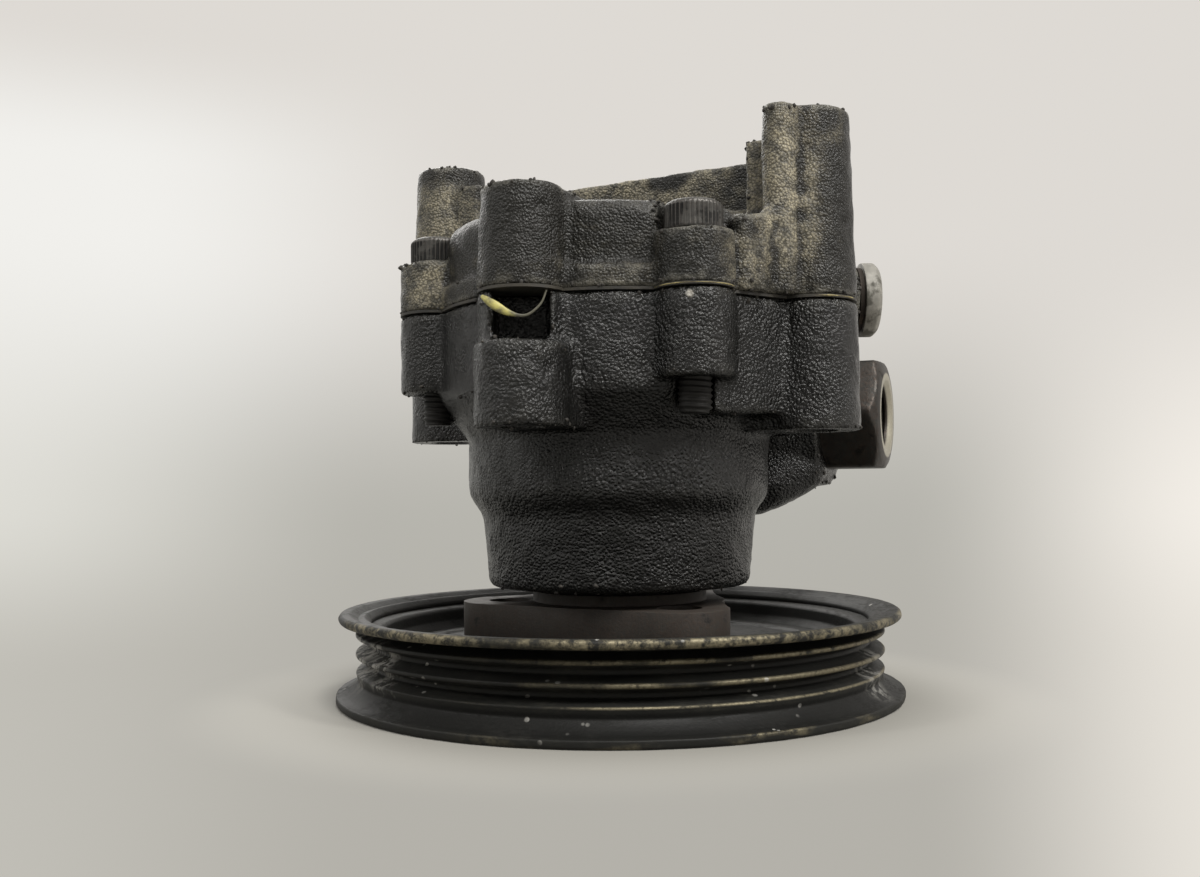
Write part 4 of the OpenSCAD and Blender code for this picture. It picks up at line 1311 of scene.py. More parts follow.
@dataclass
class Pulley:
    """The grooved belt pulley with its rolled upper lip and flared lower rim.

    Heights are in mm above its foot. Each pattern of nicks has its depth and its size.
    """

    finish: PulleyPaint
    foot: float = FLOOR_LEVEL
    hub: float = 12.05
    web_under: float = 7.0
    web_over: float = 9.5
    web_dent: float = 0.5
    dent_under: tuple[float, ...] = (26.5, 28.0, 39.4, 41.2)
    dent_over: tuple[float, ...] = (40.0, 39.0, 28.5, 27.5)
    well: float = 44.9
    tip: float = RIB_TIP
    root: float = 47.3
    pitch: float = 3.56
    flank: float = 20.0
    tip_width: float = 0.6
    shoulder: float = 5.3
    grooves: int = 3
    last_rib_cut: float = 1.6
    upper: float = UPPER_RIM
    lower: float = LOWER_RIM
    top: float = 16.38
    flare_foot: float = 1.5
    flare_in: float = 4.2
    flare_up: float = 2.3
    flare_steps: int = 6
    corner: float = 0.3
    corner_steps: int = 4
    sides: int = 300
    nicked_from: float = 51.5
    nicked_over: float = 1.2
    nicks: tuple[Span, Span] = ((0.07, 4.0), (0.05, 1.5))
    rim_loss: float = 0.06
    seed: int = 31

    def belt(self) -> list[Span]:
        """The grooves' outline, from the lowest shoulder up.

        Returns:
            Its corners, as radius and height.
        """
        opening = self.pitch - self.tip_width
        floor = opening - 2 * (self.tip - self.root) * math.tan(math.radians(self.flank))
        corners = []
        for i in range(self.grooves):
            mid = self.shoulder + (i + 0.5) * self.pitch
            cut = self.last_rib_cut if i == self.grooves - 1 else 0.0
            corners += [(self.tip, mid - opening / 2), (self.root, mid - floor / 2),
                        (self.root, mid + floor / 2), (self.tip - cut, mid + opening / 2)]
        return corners

    def outline(self) -> list[Span]:
        """The outline from the hub's lower edge, round the rims and back.

        Returns:
            Its points, as radius and height.
        """
        upper, lower, well, top = self.upper, self.lower, self.well, self.top
        a, b, c, d = self.dent_under
        low, dent = self.web_under, self.web_under - self.web_dent
        under = [(self.hub, low), (a, low), (b, dent), (c, dent), (d, low), (well - 0.4, 4.6),
                 (well + 1.5, 1.6), (lower - 2.5, 0.0), (lower - 0.3, 0.0), (lower, 0.35)]
        flare = [(lower - self.flare_in * t, self.flare_foot + self.flare_up * t * t)
                 for t in np.linspace(0.0, 1.0, self.flare_steps)]
        lip = [(upper - 0.5, top - 1.75), (upper, top - 1.3), (upper, top - 0.5), (upper - 0.6, top),
               (upper - 2.0, top - 0.1), (well + 3.6, top - 1.6), (well + 2.9, top - 2.4),
               (well + 0.6, top - 2.9), (well, top - 3.4)]
        a, b, c, d = self.dent_over
        high, dent = self.web_over, self.web_over - self.web_dent
        over = [(well, high + 1.4), (well - 1.5, high), (a, high), (b, dent), (c, dent), (d, high),
                (self.hub, high)]
        return rounded(under + flare + self.belt() + lip + over, self.corner, self.corner_steps)

    def build(self) -> bpy.types.Mesh:
        """Makes the pulley's mesh, its rims a little nicked.

        Returns:
            The mesh.
        """
        rings = [(even(r), z + self.foot) for r, z in self.outline()]
        mesh = turned("pulley_shell", rings, self.sides, closed=True)
        skin = Skin(mesh)
        reach = np.hypot(skin.points[:, 0], skin.points[:, 1])
        rim = np.clip((reach / MM - self.nicked_from) / self.nicked_over, 0.0, 1.0)
        noise = LatticeNoise(self.seed)
        nick = sum(height * noise.at(skin.points, size) for height, size in self.nicks)
        wobble = 1.0 + (nick - self.rim_loss) * rim * MM / reach
        skin.points[:, :2] *= wobble[:, None]
        skin.store()
        return mesh

    def dress(self) -> bpy.types.Object:
        """Builds the pulley in the solid's place."""
        return new_piece("pulley_shell", self.build(), self.finish.material(), Body.SHAFT,
                         ["pulley"])


@dataclass
class BevelledSolid:
    """A machined solid that keeps its shape and gets broken edges."""

    node: str
    piece: str
    body: Body
    slot: Slot
    finish: SteelFinish
    width: float
    flat_angle: float = 0.4
    sharp_angle: float = 40.0
    shade_angle: float = 32.0
    segments: int = 2
    profile: float = 0.6

    def build(self) -> bpy.types.Mesh:
        """Makes the solid's mesh with its sharp edges broken.

        Returns:
            The mesh.
        """
        work = bmesh.new()
        work.from_mesh(welded(self.node))
        flat, least = math.radians(self.flat_angle), math.radians(self.sharp_angle)
        bmesh.ops.dissolve_limit(work, angle_limit=flat, verts=work.verts, edges=work.edges)
        inner = [edge for edge in work.edges if len(edge.link_faces) == 2]
        sharp = [edge for edge in inner if edge.calc_face_angle(0.0) > least]
        bmesh.ops.bevel(work, geom=sharp, offset=self.width * MM, segments=self.segments,
                        profile=self.profile, affect="EDGES", clamp_overlap=True)
        bmesh.ops.triangulate(work, faces=[face for face in work.faces if len(face.verts) > 4])
        mesh = mesh_from(work, self.piece)
        Skin(mesh).note_plain()
        return mesh

    def dress(self) -> bpy.types.Object:
        """Builds the piece in the solid's place.

        Returns:
            The piece.
        """
        piece = new_piece(self.piece, self.build(), self.finish.material(), self.body, [self.node])
        piece.data.set_sharp_from_angle(angle=math.radians(self.shade_angle))
        return piece


@dataclass
class ValveSpring:
    """The flow valve's spring."""

    finish: SteelFinish
    node: str = "flow_valve_spring"
    joint: str = "flow_valve_slide"
    axis: Point = VALVE_AXIS
    travel: float = 6.0
    slack: float = 0.15

    def dress(self) -> bpy.types.Object:
        """Builds the coil in the solid's place.

        Returns:
            The piece.
        """
        mesh = welded(self.node)
        Skin(mesh).note_plain()
        coil = new_piece("flow_valve_coil", mesh, self.finish.material(), Body.HOUSING,
                         [self.node])
        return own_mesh(coil)


@dataclass
class OutletUnion:
    """The hexagon outlet union with its tapped bore.

    Rings are given as radius, or as what is added to a bore's radius, and depth below the end face.
    """

    finish: SteelFinish
    angle: float = -22.0
    offset: float = 36.0
    height: float = 5.0
    face: float = 34.0
    flats: float = 22.0
    length: float = 12.0
    bore: float = 6.25
    seat_bore: float = 4.0
    seat_rings: tuple[Span, ...] = ((0.4, 14.0), (0.0, 14.4))
    bore_end: float = 13.6
    thread_radius: float = 9.0
    thread_length: float = 12.0
    thread_chamfer: float = 0.8
    foot_blunt: float = 0.8
    foot_height: float = 0.4
    corner_blunt: float = 0.25
    side_levels: tuple[float, float, int] = (1.0, 9.6, 4)
    crown_depth: float = 1.9
    crown_rise: float = 1.6
    crown_over: float = 0.3
    crown_cut: float = 2.6
    crown_taper: float = 0.2
    crown_steps: int = 7
    face_rings: tuple[Span, ...] = ((9.6, 0.15), (9.2, 0.0))
    mouth_rings: tuple[Span, ...] = ((1.3, 0.0), (1.0, 0.1), (0.1, 1.0))
    tap_rings: tuple[Span, ...] = ((0.05, 0.0), (0.55, 0.55), (0.05, 1.1))
    tap_start: float = 1.4
    tap_pitch: float = 1.25
    tap_turns: int = 9
    sides: int = 120
    edge_rounds: int = 2
    edge_reach: float = 0.25
    shade_angle: float = 28.0

    def place(self) -> Matrix:
        """Where the union's foot is: +Z runs out along the valve's axis."""
        turn = Matrix.Rotation(math.radians(self.angle), 4, "Z")
        return turn @ shifted(self.face, self.offset, self.height) @ Matrix.Rotation(math.radians(90), 4, "Y")

    def outside(self) -> list[Ring]:
        """The rings of the thread, the hexagon and its crown.

        Returns:
            The rings, from the thread's end up.
        """
        foot, corner = -self.thread_length, self.flats / 2 / math.cos(math.pi / 6)
        rings = [(even(self.seat_bore), foot), (even(self.thread_radius - self.thread_chamfer), foot),
                 (even(self.thread_radius), foot + self.thread_chamfer), (even(self.thread_radius), 0.0),
                 (hexagonal(self.flats, soft=self.foot_blunt), 0.0)]
        for z in (self.foot_height, *np.linspace(*self.side_levels)):
            rings.append((hexagonal(self.flats, soft=self.corner_blunt), float(z)))
        for step in np.linspace(0.0, 1.0, self.crown_steps):
            limit = corner + self.crown_over - self.crown_cut * step
            plan = hexagonal(self.flats - self.crown_taper * step, limit, self.corner_blunt)
            rings.append((plan, self.length - self.crown_depth + self.crown_rise * step))
        return rings + [(even(radius), self.length - depth) for radius, depth in self.face_rings]

    def inside(self) -> list[Ring]:
        """The rings of the tapped bore and its seat.

        Returns:
            The rings, from the end face down.
        """
        rings = [(self.bore + more, depth) for more, depth in self.mouth_rings]
        for k in range(self.tap_turns):
            start = self.tap_start + k * self.tap_pitch
            rings += [(self.bore + more, start + depth) for more, depth in self.tap_rings]
        rings.append((self.bore, self.bore_end))
        rings += [(self.seat_bore + more, depth) for more, depth in self.seat_rings]
        return [(even(radius), self.length - depth) for radius, depth in rings]

    def dress(self) -> bpy.types.Object:
        """Builds the union in the solid's place.

        Returns:
            The piece.
        """
        mesh = turned("outlet_union_shell", self.outside() + self.inside(), self.sides, closed=True)
        Skin(mesh).note_edges(self.edge_rounds, self.edge_reach)
        moved(mesh, self.place())
        piece = new_piece("outlet_union_shell", mesh, self.finish.material(), Body.HOUSING,
                          ["outlet_union"])
        piece.data.set_sharp_from_angle(angle=math.radians(self.shade_angle))
        return piece


@dataclass
class GasketPaste:
    """Jointing paste that was squeezed out of the joint, in beads of changing thickness.

    Each stretch has its first and last angle about the shaft and its thickness.
    Each pattern of swells has its share and its size.
    """

    finish: SoftFinish
    stretches: tuple[Point, ...] = (
        (-80.0, -60.0, 0.3), (-37.0, -27.0, 0.28), (20.0, 60.0, 0.3), (95.0, 140.0, 0.3))
    angle_step: float = 0.5
    outside: float = 80.0
    swelling: float = 0.5
    swells: tuple[Span, Span] = ((0.5, 4.5), (0.35, 1.6))
    swell_limits: Span = (0.06, 1.2)
    end_points: float = 4.0
    end_limits: Span = (0.05, 1.0)
    flatness: float = 0.8
    sides: int = 7
    seed: int = 51

    def outline(self, low: float, high: float) -> list[Vector]:
        """Points along the gasket's outer edge.

        Args:
            low: the first angle about the shaft.
            high: the last angle.

        Returns:
            The points, in the part's frame.
        """
        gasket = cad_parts["cover_gasket"]
        level = Vector((0.0, 0.0, sum(corner[2] for corner in gasket.bound_box) / 8))
        path = []
        for angle in np.radians(np.arange(low, high, self.angle_step)):
            way = Vector((math.cos(angle), math.sin(angle), 0.0))
            hit, where, _, _ = gasket.ray_cast(way * self.outside * MM + level, -way)
            if hit:
                path.append(where)
        return path

    def bead(self, path: list[Vector], thick: float, noise: LatticeNoise) -> bpy.types.Mesh:
        """One bead along a path.

        Args:
            path: the points it follows.
            thick: its thickness in mm.
            noise: what it swells by.

        Returns:
            Its mesh.
        """
        spots = np.array(path)
        swell = self.swelling + sum(height * noise.at(spots, size) for height, size in self.swells)
        ends = np.minimum(np.arange(len(spots)), np.arange(len(spots))[::-1]) / self.end_points
        radius = np.clip(swell, *self.swell_limits) * thick * np.clip(ends, *self.end_limits)
        points = []
        for k, spot in enumerate(spots):
            ahead = Vector(spots[min(k + 1, len(spots) - 1)] - spots[max(k - 1, 0)]).normalized()
            out, up = ahead.cross(Vector(UP)), Vector(UP) * self.flatness
            for turn in np.arange(self.sides) * 2 * math.pi / self.sides:
                points.append(Vector(spot) + (out * math.cos(turn) + up * math.sin(turn)) * radius[k] * MM)
        return mesh_of("bead", points, tube_faces(len(spots), self.sides))

    def dress(self) -> bpy.types.Object:
        """Builds the beads as one piece.

        Returns:
            The piece.
        """
        noise = LatticeNoise(self.seed)
        beads = [self.bead(self.outline(low, high), thick, noise) for low, high, thick in self.stretches]
        return new_piece("gasket_paste", joined("gasket_paste", beads), self.finish.material(), Body.HOUSING)


@dataclass
class TornStrand:
    """The torn, hanging edge of the gasket: a flat ribbon, thick and pale at its left end.

    Each point of its course has its half width.
    """

    finish: SoftFinish
    course: tuple[tuple[Point, float], ...] = (
        ((-22.2, -35.9, 21.5), 0.25), ((-21.4, -36.2, 20.9), 0.55), ((-19.9, -36.6, 19.8), 0.8),
        ((-18.2, -36.8, 18.8), 0.62), ((-16.4, -36.8, 18.2), 0.32), ((-14.8, -36.7, 18.2), 0.24),
        ((-13.3, -36.5, 19.2), 0.2), ((-12.2, -36.2, 20.6), 0.19), ((-11.5, -35.9, 22.7), 0.18))
    face: Point = (0.0, -1.0, 0.0)
    steps: int = 6
    sides: int = 10
    flatness: float = 0.45

    def path(self) -> list[tuple[Vector, float]]:
        """The ribbon's course as a smooth curve.

        Returns:
            Its points and half widths, in metres.
        """
        knots = [np.array([*spot, wide]) for spot, wide in (self.course[0], *self.course, self.course[-1])]
        out = []
        for p, q, r, w in zip(knots, knots[1:], knots[2:], knots[3:]):
            for k in range(self.steps):
                t = k / self.steps
                bend = (2 * p - 5 * q + 4 * r - w) * t ** 2 + (3 * q - p - 3 * r + w) * t ** 3
                at = 0.5 * (2 * q + (r - p) * t + bend)
                out.append((Vector(at[:3]) * MM, float(at[3]) * MM))
        return out

    def build(self) -> bpy.types.Mesh:
        """Makes the ribbon.

        Returns:
            The mesh.
        """
        path = self.path()
        out = Vector(self.face)
        points = []
        for k, (spot, wide) in enumerate(path):
            ahead = (path[min(k + 1, len(path) - 1)][0] - path[max(k - 1, 0)][0]).normalized()
            up = ahead.cross(out).normalized()
            for turn in np.arange(self.sides) * 2 * math.pi / self.sides:
                points.append(spot + (out * self.flatness * math.cos(turn) + up * math.sin(turn)) * wide)
        return mesh_of("torn_strand", points, tube_faces(len(path), self.sides, flipped=True))

    def dress(self) -> bpy.types.Object:
        """Builds the ribbon in the solid's place."""
        return new_piece("torn_strand", self.build(), self.finish.material(), Body.HOUSING,
                         ["gasket_strand"])


@dataclass
class DirtCrumbs:
    """Crumbs of oily dirt that cling to the castings' edges."""

    finish: SoftFinish
    counts: tuple[int, int] = (300, 460)
    sizes: Span = (0.1, 0.42)
    stretches: Span = (0.6, 1.3)
    uneven: float = 0.3
    least_edge: float = 0.74
    least_reach: float = 24.0
    seed: int = 77

    def crumb(self, rng: np.random.Generator) -> tuple[np.ndarray, list[tuple[int, ...]]]:
        """One uneven lump of unit size.

        Args:
            rng: the seeded numbers.

        Returns:
            Its points and faces.
        """
        work = bmesh.new()
        bmesh.ops.create_icosphere(work, subdivisions=2, radius=1.0)
        points = np.array([v.co for v in work.verts])
        faces = [tuple(v.index for v in f.verts) for f in work.faces]
        work.free()
        points = points * (1.0 + self.uneven * rng.uniform(-1, 1, (len(points), 1)))
        return points * rng.uniform(*self.stretches, 3), faces

    def scatter(self, casting: Casting, count: int, rng: np.random.Generator) -> list[bpy.types.Mesh]:
        """Crumbs on the outer edges of a casting.

        Args:
            casting: what they cling to.
            count: how many.
            rng: the seeded numbers.

        Returns:
            Their meshes.
        """
        reach = np.hypot(casting.points[:, 0], casting.points[:, 1]) / MM
        outside = np.flatnonzero((casting.edges > self.least_edge) & (reach > self.least_reach))
        meshes = []
        for at in rng.choice(outside, count, replace=False):
            shape, faces = self.crumb(rng)
            size = rng.uniform(*self.sizes)
            meshes.append(mesh_of("crumb", casting.points[at] + shape * size * MM, faces))
        return meshes

    def dress(self, castings: Sequence[Casting]) -> bpy.types.Object:
        """Builds all the crumbs as one piece.

        Args:
            castings: what they cling to, in the order of the counts.

        Returns:
            The piece.
        """
        rng = np.random.default_rng(self.seed)
        meshes = []
        for casting, count in zip(castings, self.counts):
            meshes += self.scatter(casting, count, rng)
        return new_piece("dirt_crumbs", joined("dirt_crumbs", meshes), self.finish.material(), Body.HOUSING)


@dataclass
class InnerParts:
    """The solids that stay as they are, each with its own finish."""

    finishes: dict[str, Union[SteelFinish, SoftFinish]]

    def dress(self) -> None:
        """Gives each solid its material."""
        made: dict[str, bpy.types.Material] = {}
        for node, finish in self.finishes.items():
            if finish.name not in made:
                made[finish.name] = finish.material()
            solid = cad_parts[node]
            solid.data.materials.clear()
            solid.data.materials.append(made[finish.name])
            LOG.info("%s keeps its solid", node)


@dataclass(frozen=True)
class Lamp:
    """One soft lamp, in metres and watts, that points at the pump."""

    name: str
    place: Point
    size: Span
    power: float
    colour: Colour = (1.0, 0.985, 0.955)
    aim: Point = (0.0, 0.0, -0.005)

    def build(self) -> None:
        """Sets up the lamp."""
        data = bpy.data.lights.new(self.name, "AREA")
        data.shape = "RECTANGLE"
        data.size, data.size_y = self.size
        data.energy = self.power
        data.color = self.colour
        lamp = shown(self.name, data)
        lamp.location = self.place
        lamp.rotation_euler = (Vector(self.aim) - Vector(self.place)).to_track_quat("-Z", "Y").to_euler()


@dataclass
class Studio:
    """Pale floor, pale surroundings and soft lamps, with a painted shadow of the pump on floor and backdrop.

    Each span named ..._at says at which direction from the photo's place a tone starts and where it is full.
    """

    eye: Point = PHOTO_EYE
    floor_level: float = FLOOR_LEVEL
    floor_radius: float = 2.5
    floor_sides: int = 96
    floor_roughness: float = 0.75
    # The near tones paint the pump's shadow on backdrop and floor. The corner tone paints a pool of light at
    # the top left.
    near: Colour = (0.47, 0.46, 0.42)
    left: Colour = (0.72, 0.71, 0.66)
    right: Colour = (0.9, 0.86, 0.8)
    top: Colour = (0.73, 0.7, 0.66)
    corner: Colour = (0.88, 0.87, 0.84)
    floor_left: Colour = (0.53, 0.515, 0.47)
    floor_shadow_near: Colour = (0.455, 0.44, 0.4)
    floor_right: Colour = (0.8, 0.765, 0.705)
    left_at: Span = (-0.2, -0.5)
    right_at: Span = (0.24, 0.48)
    corner_side_at: Span = (-0.1, -0.4)
    corner_rise_at: Span = (0.36, 0.26)
    high_at: Span = (-0.03, 0.22)
    low_at: Span = (0.0, -0.14)
    lit_share: float = 0.93
    # The under colour is a painted contact shadow on the floor around the pump's foot.
    under: Colour = (0.12, 0.115, 0.1)
    painted_shadow_within: Span = (80.0, 50.0)
    painted_shadow_share: float = 0.6
    glow_from: Span = (45.0, 85.0)
    fill: float = 0.05
    fill_colour: Colour = (1.0, 0.985, 0.96)
    lamps: tuple[Lamp, ...] = (
        Lamp("overhead", (0.2, -0.42, 0.86), (0.3, 0.26), 9.2),
        Lamp("front_right", (0.6, -0.44, 0.56), (0.12, 0.24), 4.6),
        Lamp("behind", (-0.28, 0.72, 0.5), (0.6, 0.4), 3.0),
        Lamp("front_left", (-0.72, -0.3, 0.56), (0.12, 0.24), 2.2))

    def backdrop(self, s: Nodes, way: Socket) -> Socket:
        """The pale surroundings' colour: darker around the pump's foot as a painted shadow of the pump, and
        lighter towards the top-left corner as painted light.

        Args:
            s: the tree under way.
            way: the direction from where the photo was taken.

        Returns:
            The colour's socket.
        """
        side, rise = s.axis_part(way, ACROSS), s.axis_part(way, UP)
        out_left, out_right = s.step(side, *self.left_at), s.step(side, *self.right_at)
        level = s.mix(out_right, s.mix(out_left, self.near, self.left), self.right)
        low = s.mix(out_right, s.mix(out_left, self.floor_shadow_near, self.floor_left), self.floor_right)
        cornered = s.both(s.step(side, *self.corner_side_at), s.step(rise, *self.corner_rise_at))
        colour = s.mix(s.step(rise, *self.high_at), level, s.mix(cornered, self.top, self.corner))
        return s.mix(s.step(rise, *self.low_at), colour, low)

    def floor_sheet(self) -> bpy.types.Material:
        """The floor's material: lit around the pump, with a painted contact shadow close to its foot, and in
        the surroundings' own tone further out.

        Returns:
            The material.
        """
        s = Sheet("pale_floor")
        eye = scaled((self.eye[0], self.eye[1], self.eye[2] - self.floor_level), MM)
        colour = self.backdrop(s, s.vector("NORMALIZE", s.vector("SUBTRACT", s.place, eye)))
        away = s.away((0.0, 0.0, 0.0))
        lit = s.mix(1.0 - self.lit_share, colour, (0.0, 0.0, 0.0))
        # Painted contact shadow: the floor is darker close to the pump.
        shaded = s.both(s.step(away, *self.painted_shadow_within), self.painted_shadow_share)
        s.finish(Base_Color=s.mix(shaded, lit, self.under), Roughness=self.floor_roughness)
        glow = s.add("ShaderNodeEmission", {"Color": colour, "Strength": 1.0}).outputs[0]
        share = s.both(s.step(away, *self.glow_from), s.seen())
        blend = s.add("ShaderNodeMixShader", {0: share, 1: s.shader.outputs[0], 2: glow}).outputs[0]
        s.put(s.tree.nodes["Material Output"].inputs["Surface"], blend)
        return s.material

    def floor(self) -> None:
        """The floor, which fades into the surroundings far out."""
        work = bmesh.new()
        bmesh.ops.create_circle(work, cap_ends=True, radius=self.floor_radius, segments=self.floor_sides)
        floor = shown("floor", mesh_from(work, "floor"))
        floor.location = (0.0, 0.0, self.floor_level * MM)
        floor.data.materials.append(self.floor_sheet())

    def surroundings(self) -> None:
        """The world: a pale, uneven backdrop to look at, and an even fill light."""
        world = bpy.data.worlds.new("pale_room")
        world.use_nodes = True
        bpy.context.scene.world = world
        world.node_tree.nodes.clear()
        s = Nodes(world.node_tree, "Generated")
        pale = s.add("ShaderNodeBackground", {"Color": self.backdrop(s, s.place), "Strength": 1.0}).outputs[0]
        lit = s.add("ShaderNodeBackground", {"Color": self.fill_colour, "Strength": self.fill}).outputs[0]
        blend = s.add("ShaderNodeMixShader", {0: s.seen(), 1: lit, 2: pale}).outputs[0]
        s.put(s.tree.nodes.new("ShaderNodeOutputWorld").inputs["Surface"], blend)

    def build(self) -> None:
        """Sets up floor, surroundings and lamps."""
        self.floor()
        self.surroundings()
        for lamp in self.lamps:
            lamp.build()
        bpy.context.scene.view_settings.view_transform = "Standard"


@dataclass
class PhotoCamera:
    """The camera at the photograph's angle."""

    place: Point = PHOTO_EYE
    roll: float = 0.5
    focal_pixels: float = 1140.0
    frame_width: float = 1200.0
    sensor: float = 36.0
    centre_offset: Span = (19.0, 56.5)
    nearest: float = 0.01

    def build(self) -> None:
        """Sets up the camera."""
        data = bpy.data.cameras.new("photo_camera")
        data.sensor_width = self.sensor
        data.lens = self.sensor * self.focal_pixels / self.frame_width
        data.shift_x = -self.centre_offset[0] / self.frame_width
        data.shift_y = self.centre_offset[1] / self.frame_width
        data.clip_start = self.nearest
        camera = shown("photo_camera", data)
        camera.matrix_world = (shifted(*self.place) @ Matrix.Rotation(math.radians(90), 4, "X")
                               @ Matrix.Rotation(math.radians(-self.roll), 4, "Z"))
        bpy.context.scene.camera = camera


HOUSING_CAST = CastFinish(
    name="housing_greasy_cast", grease=(0.0045, 0.0044, 0.004), bare=(0.021, 0.0206, 0.0187),
    dust=(0.05, 0.046, 0.038), dusty=0.05, gloss=(0.17, 0.42), grain_depth=0.3, grain_size=0.55, shine=0.34,
    # Its dark spots are painted shade: in the recess by the left boss, under the lugs on the neck and over
    # the valve barrel.
    shade_and_stain_spots=(Spot((-25.0, -22.0, 12.0), 7.0, 1.0, (1.0, 1.0, 0.5)), Spot((-8.0, -30.0, -3.0), 11.0, 0.8),
                Spot((34.0, 12.0, -8.0), 12.0)),
    rust_spots=(Spot((37.5, -6.0, -2.0), 3.0),), pale_spots=(Spot((11.6, -39.3, 21.2), 1.0),))
COVER_CAST = CastFinish(
    name="cover_grimy_cast", grease=(0.011, 0.0105, 0.009), bare=(0.1, 0.096, 0.083),
    dust=(0.35, 0.312, 0.225), dusty=0.3, gloss=(0.2, 0.56), grain_depth=0.23, grain_size=0.44, shine=0.24,
    tan_spots=(Spot((-37.0, 8.0, 42.0), 15.0, 0.8), Spot((-36.0, -8.0, 28.0), 8.0, 0.8),
               Spot((27.0, -20.0, 40.0), 14.0, 1.0, (1.6, 1.0, 0.7)), Spot((22.0, -33.0, 28.0), 8.0, 0.7),
               Spot((29.5, -25.5, 41.0), 9.0, 1.0, (1.0, 1.0, 0.45)), Spot((-34.0, -10.0, 27.0), 7.0),
               Spot((5.0, 8.0, 50.0), 22.0, 1.0), Spot((0.0, -36.0, 24.0), 7.0, 0.15)),
    # Its dark spots are mostly painted shade on the bosses and the right post, and one grease stain on the
    # back wall.
    shade_and_stain_spots=(Spot((-14.0, -38.0, 34.0), 11.0), Spot((44.0, -20.0, 40.0), 12.0, 1.0, (1.0, 1.0, 0.6)),
                Spot((37.5, -28.0, 42.0), 5.0, 0.9, (1.0, 1.0, 0.22)),
                Spot((10.2, 6.8, 52.0), 5.0, 1.0, (0.8, 0.8, 1.6)), Spot((4.0, -34.0, 34.0), 9.0, 0.5)))
# Below 12 mm its grime tone also paints shade, on the bolt ends under the bosses and on the pulley's bolts.
BLACK_STEEL = SteelFinish("black_bolt_steel", (0.07, 0.068, 0.063), (0.008, 0.0076, 0.007), grimy=0.62,
                          metallic=0.6, roughness=0.34, rusty=0.06, grimy_and_shaded_below=12.0)
UNION_STEEL = SteelFinish("union_dark_steel", (0.045, 0.044, 0.041), (0.012, 0.0116, 0.0105), grimy=0.35,
                          metallic=0.8, roughness=0.4, rusty=0.12,
                          ring=FaceRing((56.14, 16.15, 5.0), VALVE_AXIS, inner=6.2, outer=9.0))
PLUG_STEEL = SteelFinish("plug_dull_steel", (0.26, 0.25, 0.222), (0.08, 0.076, 0.063), grimy=0.5,
                         metallic=0.2, roughness=0.5)
FLANGE_STEEL = SteelFinish("flange_rusty_steel", (0.032, 0.027, 0.022), (0.012, 0.0105, 0.009), grimy=0.3,
                           metallic=0.2, roughness=0.55, rust=(0.042, 0.026, 0.017), rusty=0.5,
                           grain=(6.0, 6.0, 0.6))
GROUND_STEEL = SteelFinish("ground_steel", (0.5, 0.49, 0.47), (0.12, 0.1, 0.08), grimy=0.15, metallic=0.95,
                           roughness=0.25, grain=(1.0, 1.0, 8.0))
BEARING_STEEL = SteelFinish("bearing_steel", (0.6, 0.6, 0.6), (0.15, 0.12, 0.09), grimy=0.1, metallic=1.0,
                            roughness=0.16)
SPRING_STEEL = SteelFinish("spring_steel", (0.3, 0.29, 0.27), (0.05, 0.045, 0.04), grimy=0.2, metallic=0.9,
                           roughness=0.35)
BRONZE = SteelFinish("bronze_bush", (0.5, 0.35, 0.17), (0.12, 0.08, 0.04), grimy=0.2, metallic=0.95,
                     roughness=0.32)
COPPER = SteelFinish("copper_washer", (0.2, 0.13, 0.085), (0.035, 0.028, 0.022), grimy=0.8, metallic=0.5,
                     roughness=0.5)
CAGE_BRASS = SteelFinish("cage_brass", (0.5, 0.38, 0.2), (0.1, 0.07, 0.04), grimy=0.2, metallic=0.9,
                         roughness=0.35)
SEAL_RUBBER = SoftFinish("seal_rubber", (0.022, 0.021, 0.02), (0.012, 0.0115, 0.011), cloud_size=3.0,
                         roughness=0.55)
PASTE = SoftFinish("joint_paste", (0.33, 0.28, 0.12), (0.1, 0.08, 0.04), cloud_size=2.2, roughness=0.6)
STRAND = SoftFinish("torn_gasket", (0.46, 0.42, 0.13), (0.07, 0.066, 0.045), cloud_size=3.4, roughness=0.5,
                    fade=(-18.2, -16.2))
GASKET = SoftFinish("gasket_sheet", (0.03, 0.026, 0.018), (0.008, 0.0075, 0.006), cloud_size=5.0,
                    roughness=0.6)
CRUMB_DIRT = SoftFinish("crumb_dirt", (0.03, 0.026, 0.021), (0.012, 0.0105, 0.009), cloud_size=1.5,
                        roughness=0.8, depth=0.1)

VALVE_SWELLS = ((28.5, 16.0, -8.6, 7.0), (31.0, 16.0, -7.8, 7.0), (33.5, 16.0, -6.8, 6.6),
                (36.0, 16.0, -6.0, 6.0), (38.2, 15.6, -5.6, 5.2))
POST_RIBS = ((25.9, -25.9, 1.1, 23.4, 38.0), (28.6, -23.2, 3.2, 23.4, 56.5), (21.6, -28.0, 2.2, 23.4, 36.2),
             (24.0, -26.6, 2.0, 23.4, 36.6))
HOUSING_NODES = ("front_housing",)
COVER_NODES = ("rear_cover", "inlet_block", "cover_right_post", "cover_left_post")


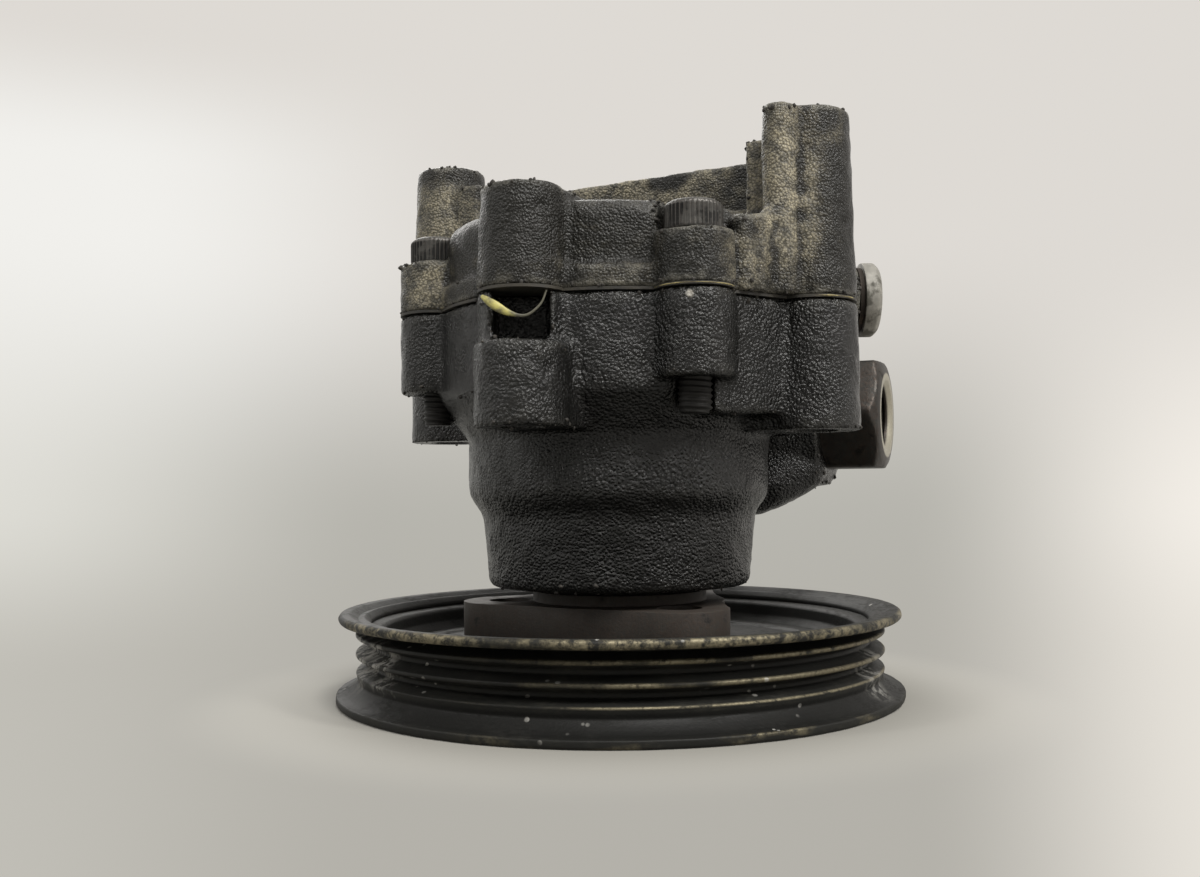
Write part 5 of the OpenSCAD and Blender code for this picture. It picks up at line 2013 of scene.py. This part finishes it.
def inner_finishes() -> dict[str, Union[SteelFinish, SoftFinish]]:
    """The finish of each solid that stays as it is.

    Returns:
        The finishes by the solids' names.
    """
    named: dict[str, Union[SteelFinish, SoftFinish]] = {
        "cover_gasket": GASKET, "bearing_outer_ring": BEARING_STEEL, "bearing_inner_ring": BEARING_STEEL,
        "bearing_balls": BEARING_STEEL, "bearing_cage": CAGE_BRASS, "bearing_circlip": SPRING_STEEL,
        "shaft_circlip": SPRING_STEEL, "rotor_circlip": SPRING_STEEL,
        "shaft_seal": SEAL_RUBBER, "side_plate_o_ring": SEAL_RUBBER, "outlet_union_o_ring": SEAL_RUBBER,
        "rear_bush": BRONZE, "gallery_plug_washer": COPPER}
    ground = ["front_side_plate", "cam_ring", "rear_side_plate", "dowel_pins", "flow_valve_spool", "shaft",
              "rotor"]
    named.update({node: GROUND_STEEL for node in ground + [f"vane_{i:02d}" for i in range(1, 11)]})
    return named


def main() -> None:
    """Builds the pump's pieces in order, then the studio."""
    logging.basicConfig(level=logging.INFO, format="%(name)s: %(message)s")
    PhotoCamera().build()
    housing = Casting(HOUSING_NODES, "housing_skin", Slot.HOUSING, HOUSING_CAST,
                      flat_levels=(22.7, 0.0, -28.4), seed=11, inner_radius=20.5,
                      pit_cluster=(-16.0, -43.3, 8.0), swells=VALVE_SWELLS)
    cover = Casting(COVER_NODES, "cover_skin", Slot.COVER, COVER_CAST, flat_levels=(23.2,), seed=21,
                    inner_radius=8.7, voxel=0.545, rounds=6, ribs=POST_RIBS)
    housing.dress()
    cover.dress()
    CoverBolts(BLACK_STEEL).dress()
    GasketPaste(PASTE).dress()
    TornStrand(STRAND).dress()
    OutletUnion(UNION_STEEL).dress()
    BevelledSolid("gallery_plug", "gallery_plug_shell", Body.HOUSING, Slot.PLUG, PLUG_STEEL,
                  width=0.3).dress()
    BevelledSolid("drive_flange", "drive_flange_shell", Body.SHAFT, Slot.FLANGE, FLANGE_STEEL,
                  width=0.4).dress()
    BevelledSolid("pulley_bolts", "pulley_bolt_set", Body.SHAFT, Slot.BLACK_STEEL, BLACK_STEEL,
                  width=0.4).dress()
    Pulley(PulleyPaint()).dress()
    ValveSpring(SPRING_STEEL).dress()
    DirtCrumbs(CRUMB_DIRT).dress([housing, cover])
    InnerParts(inner_finishes()).dress()
    Studio().build()


if __name__ == "__main__":
    main()
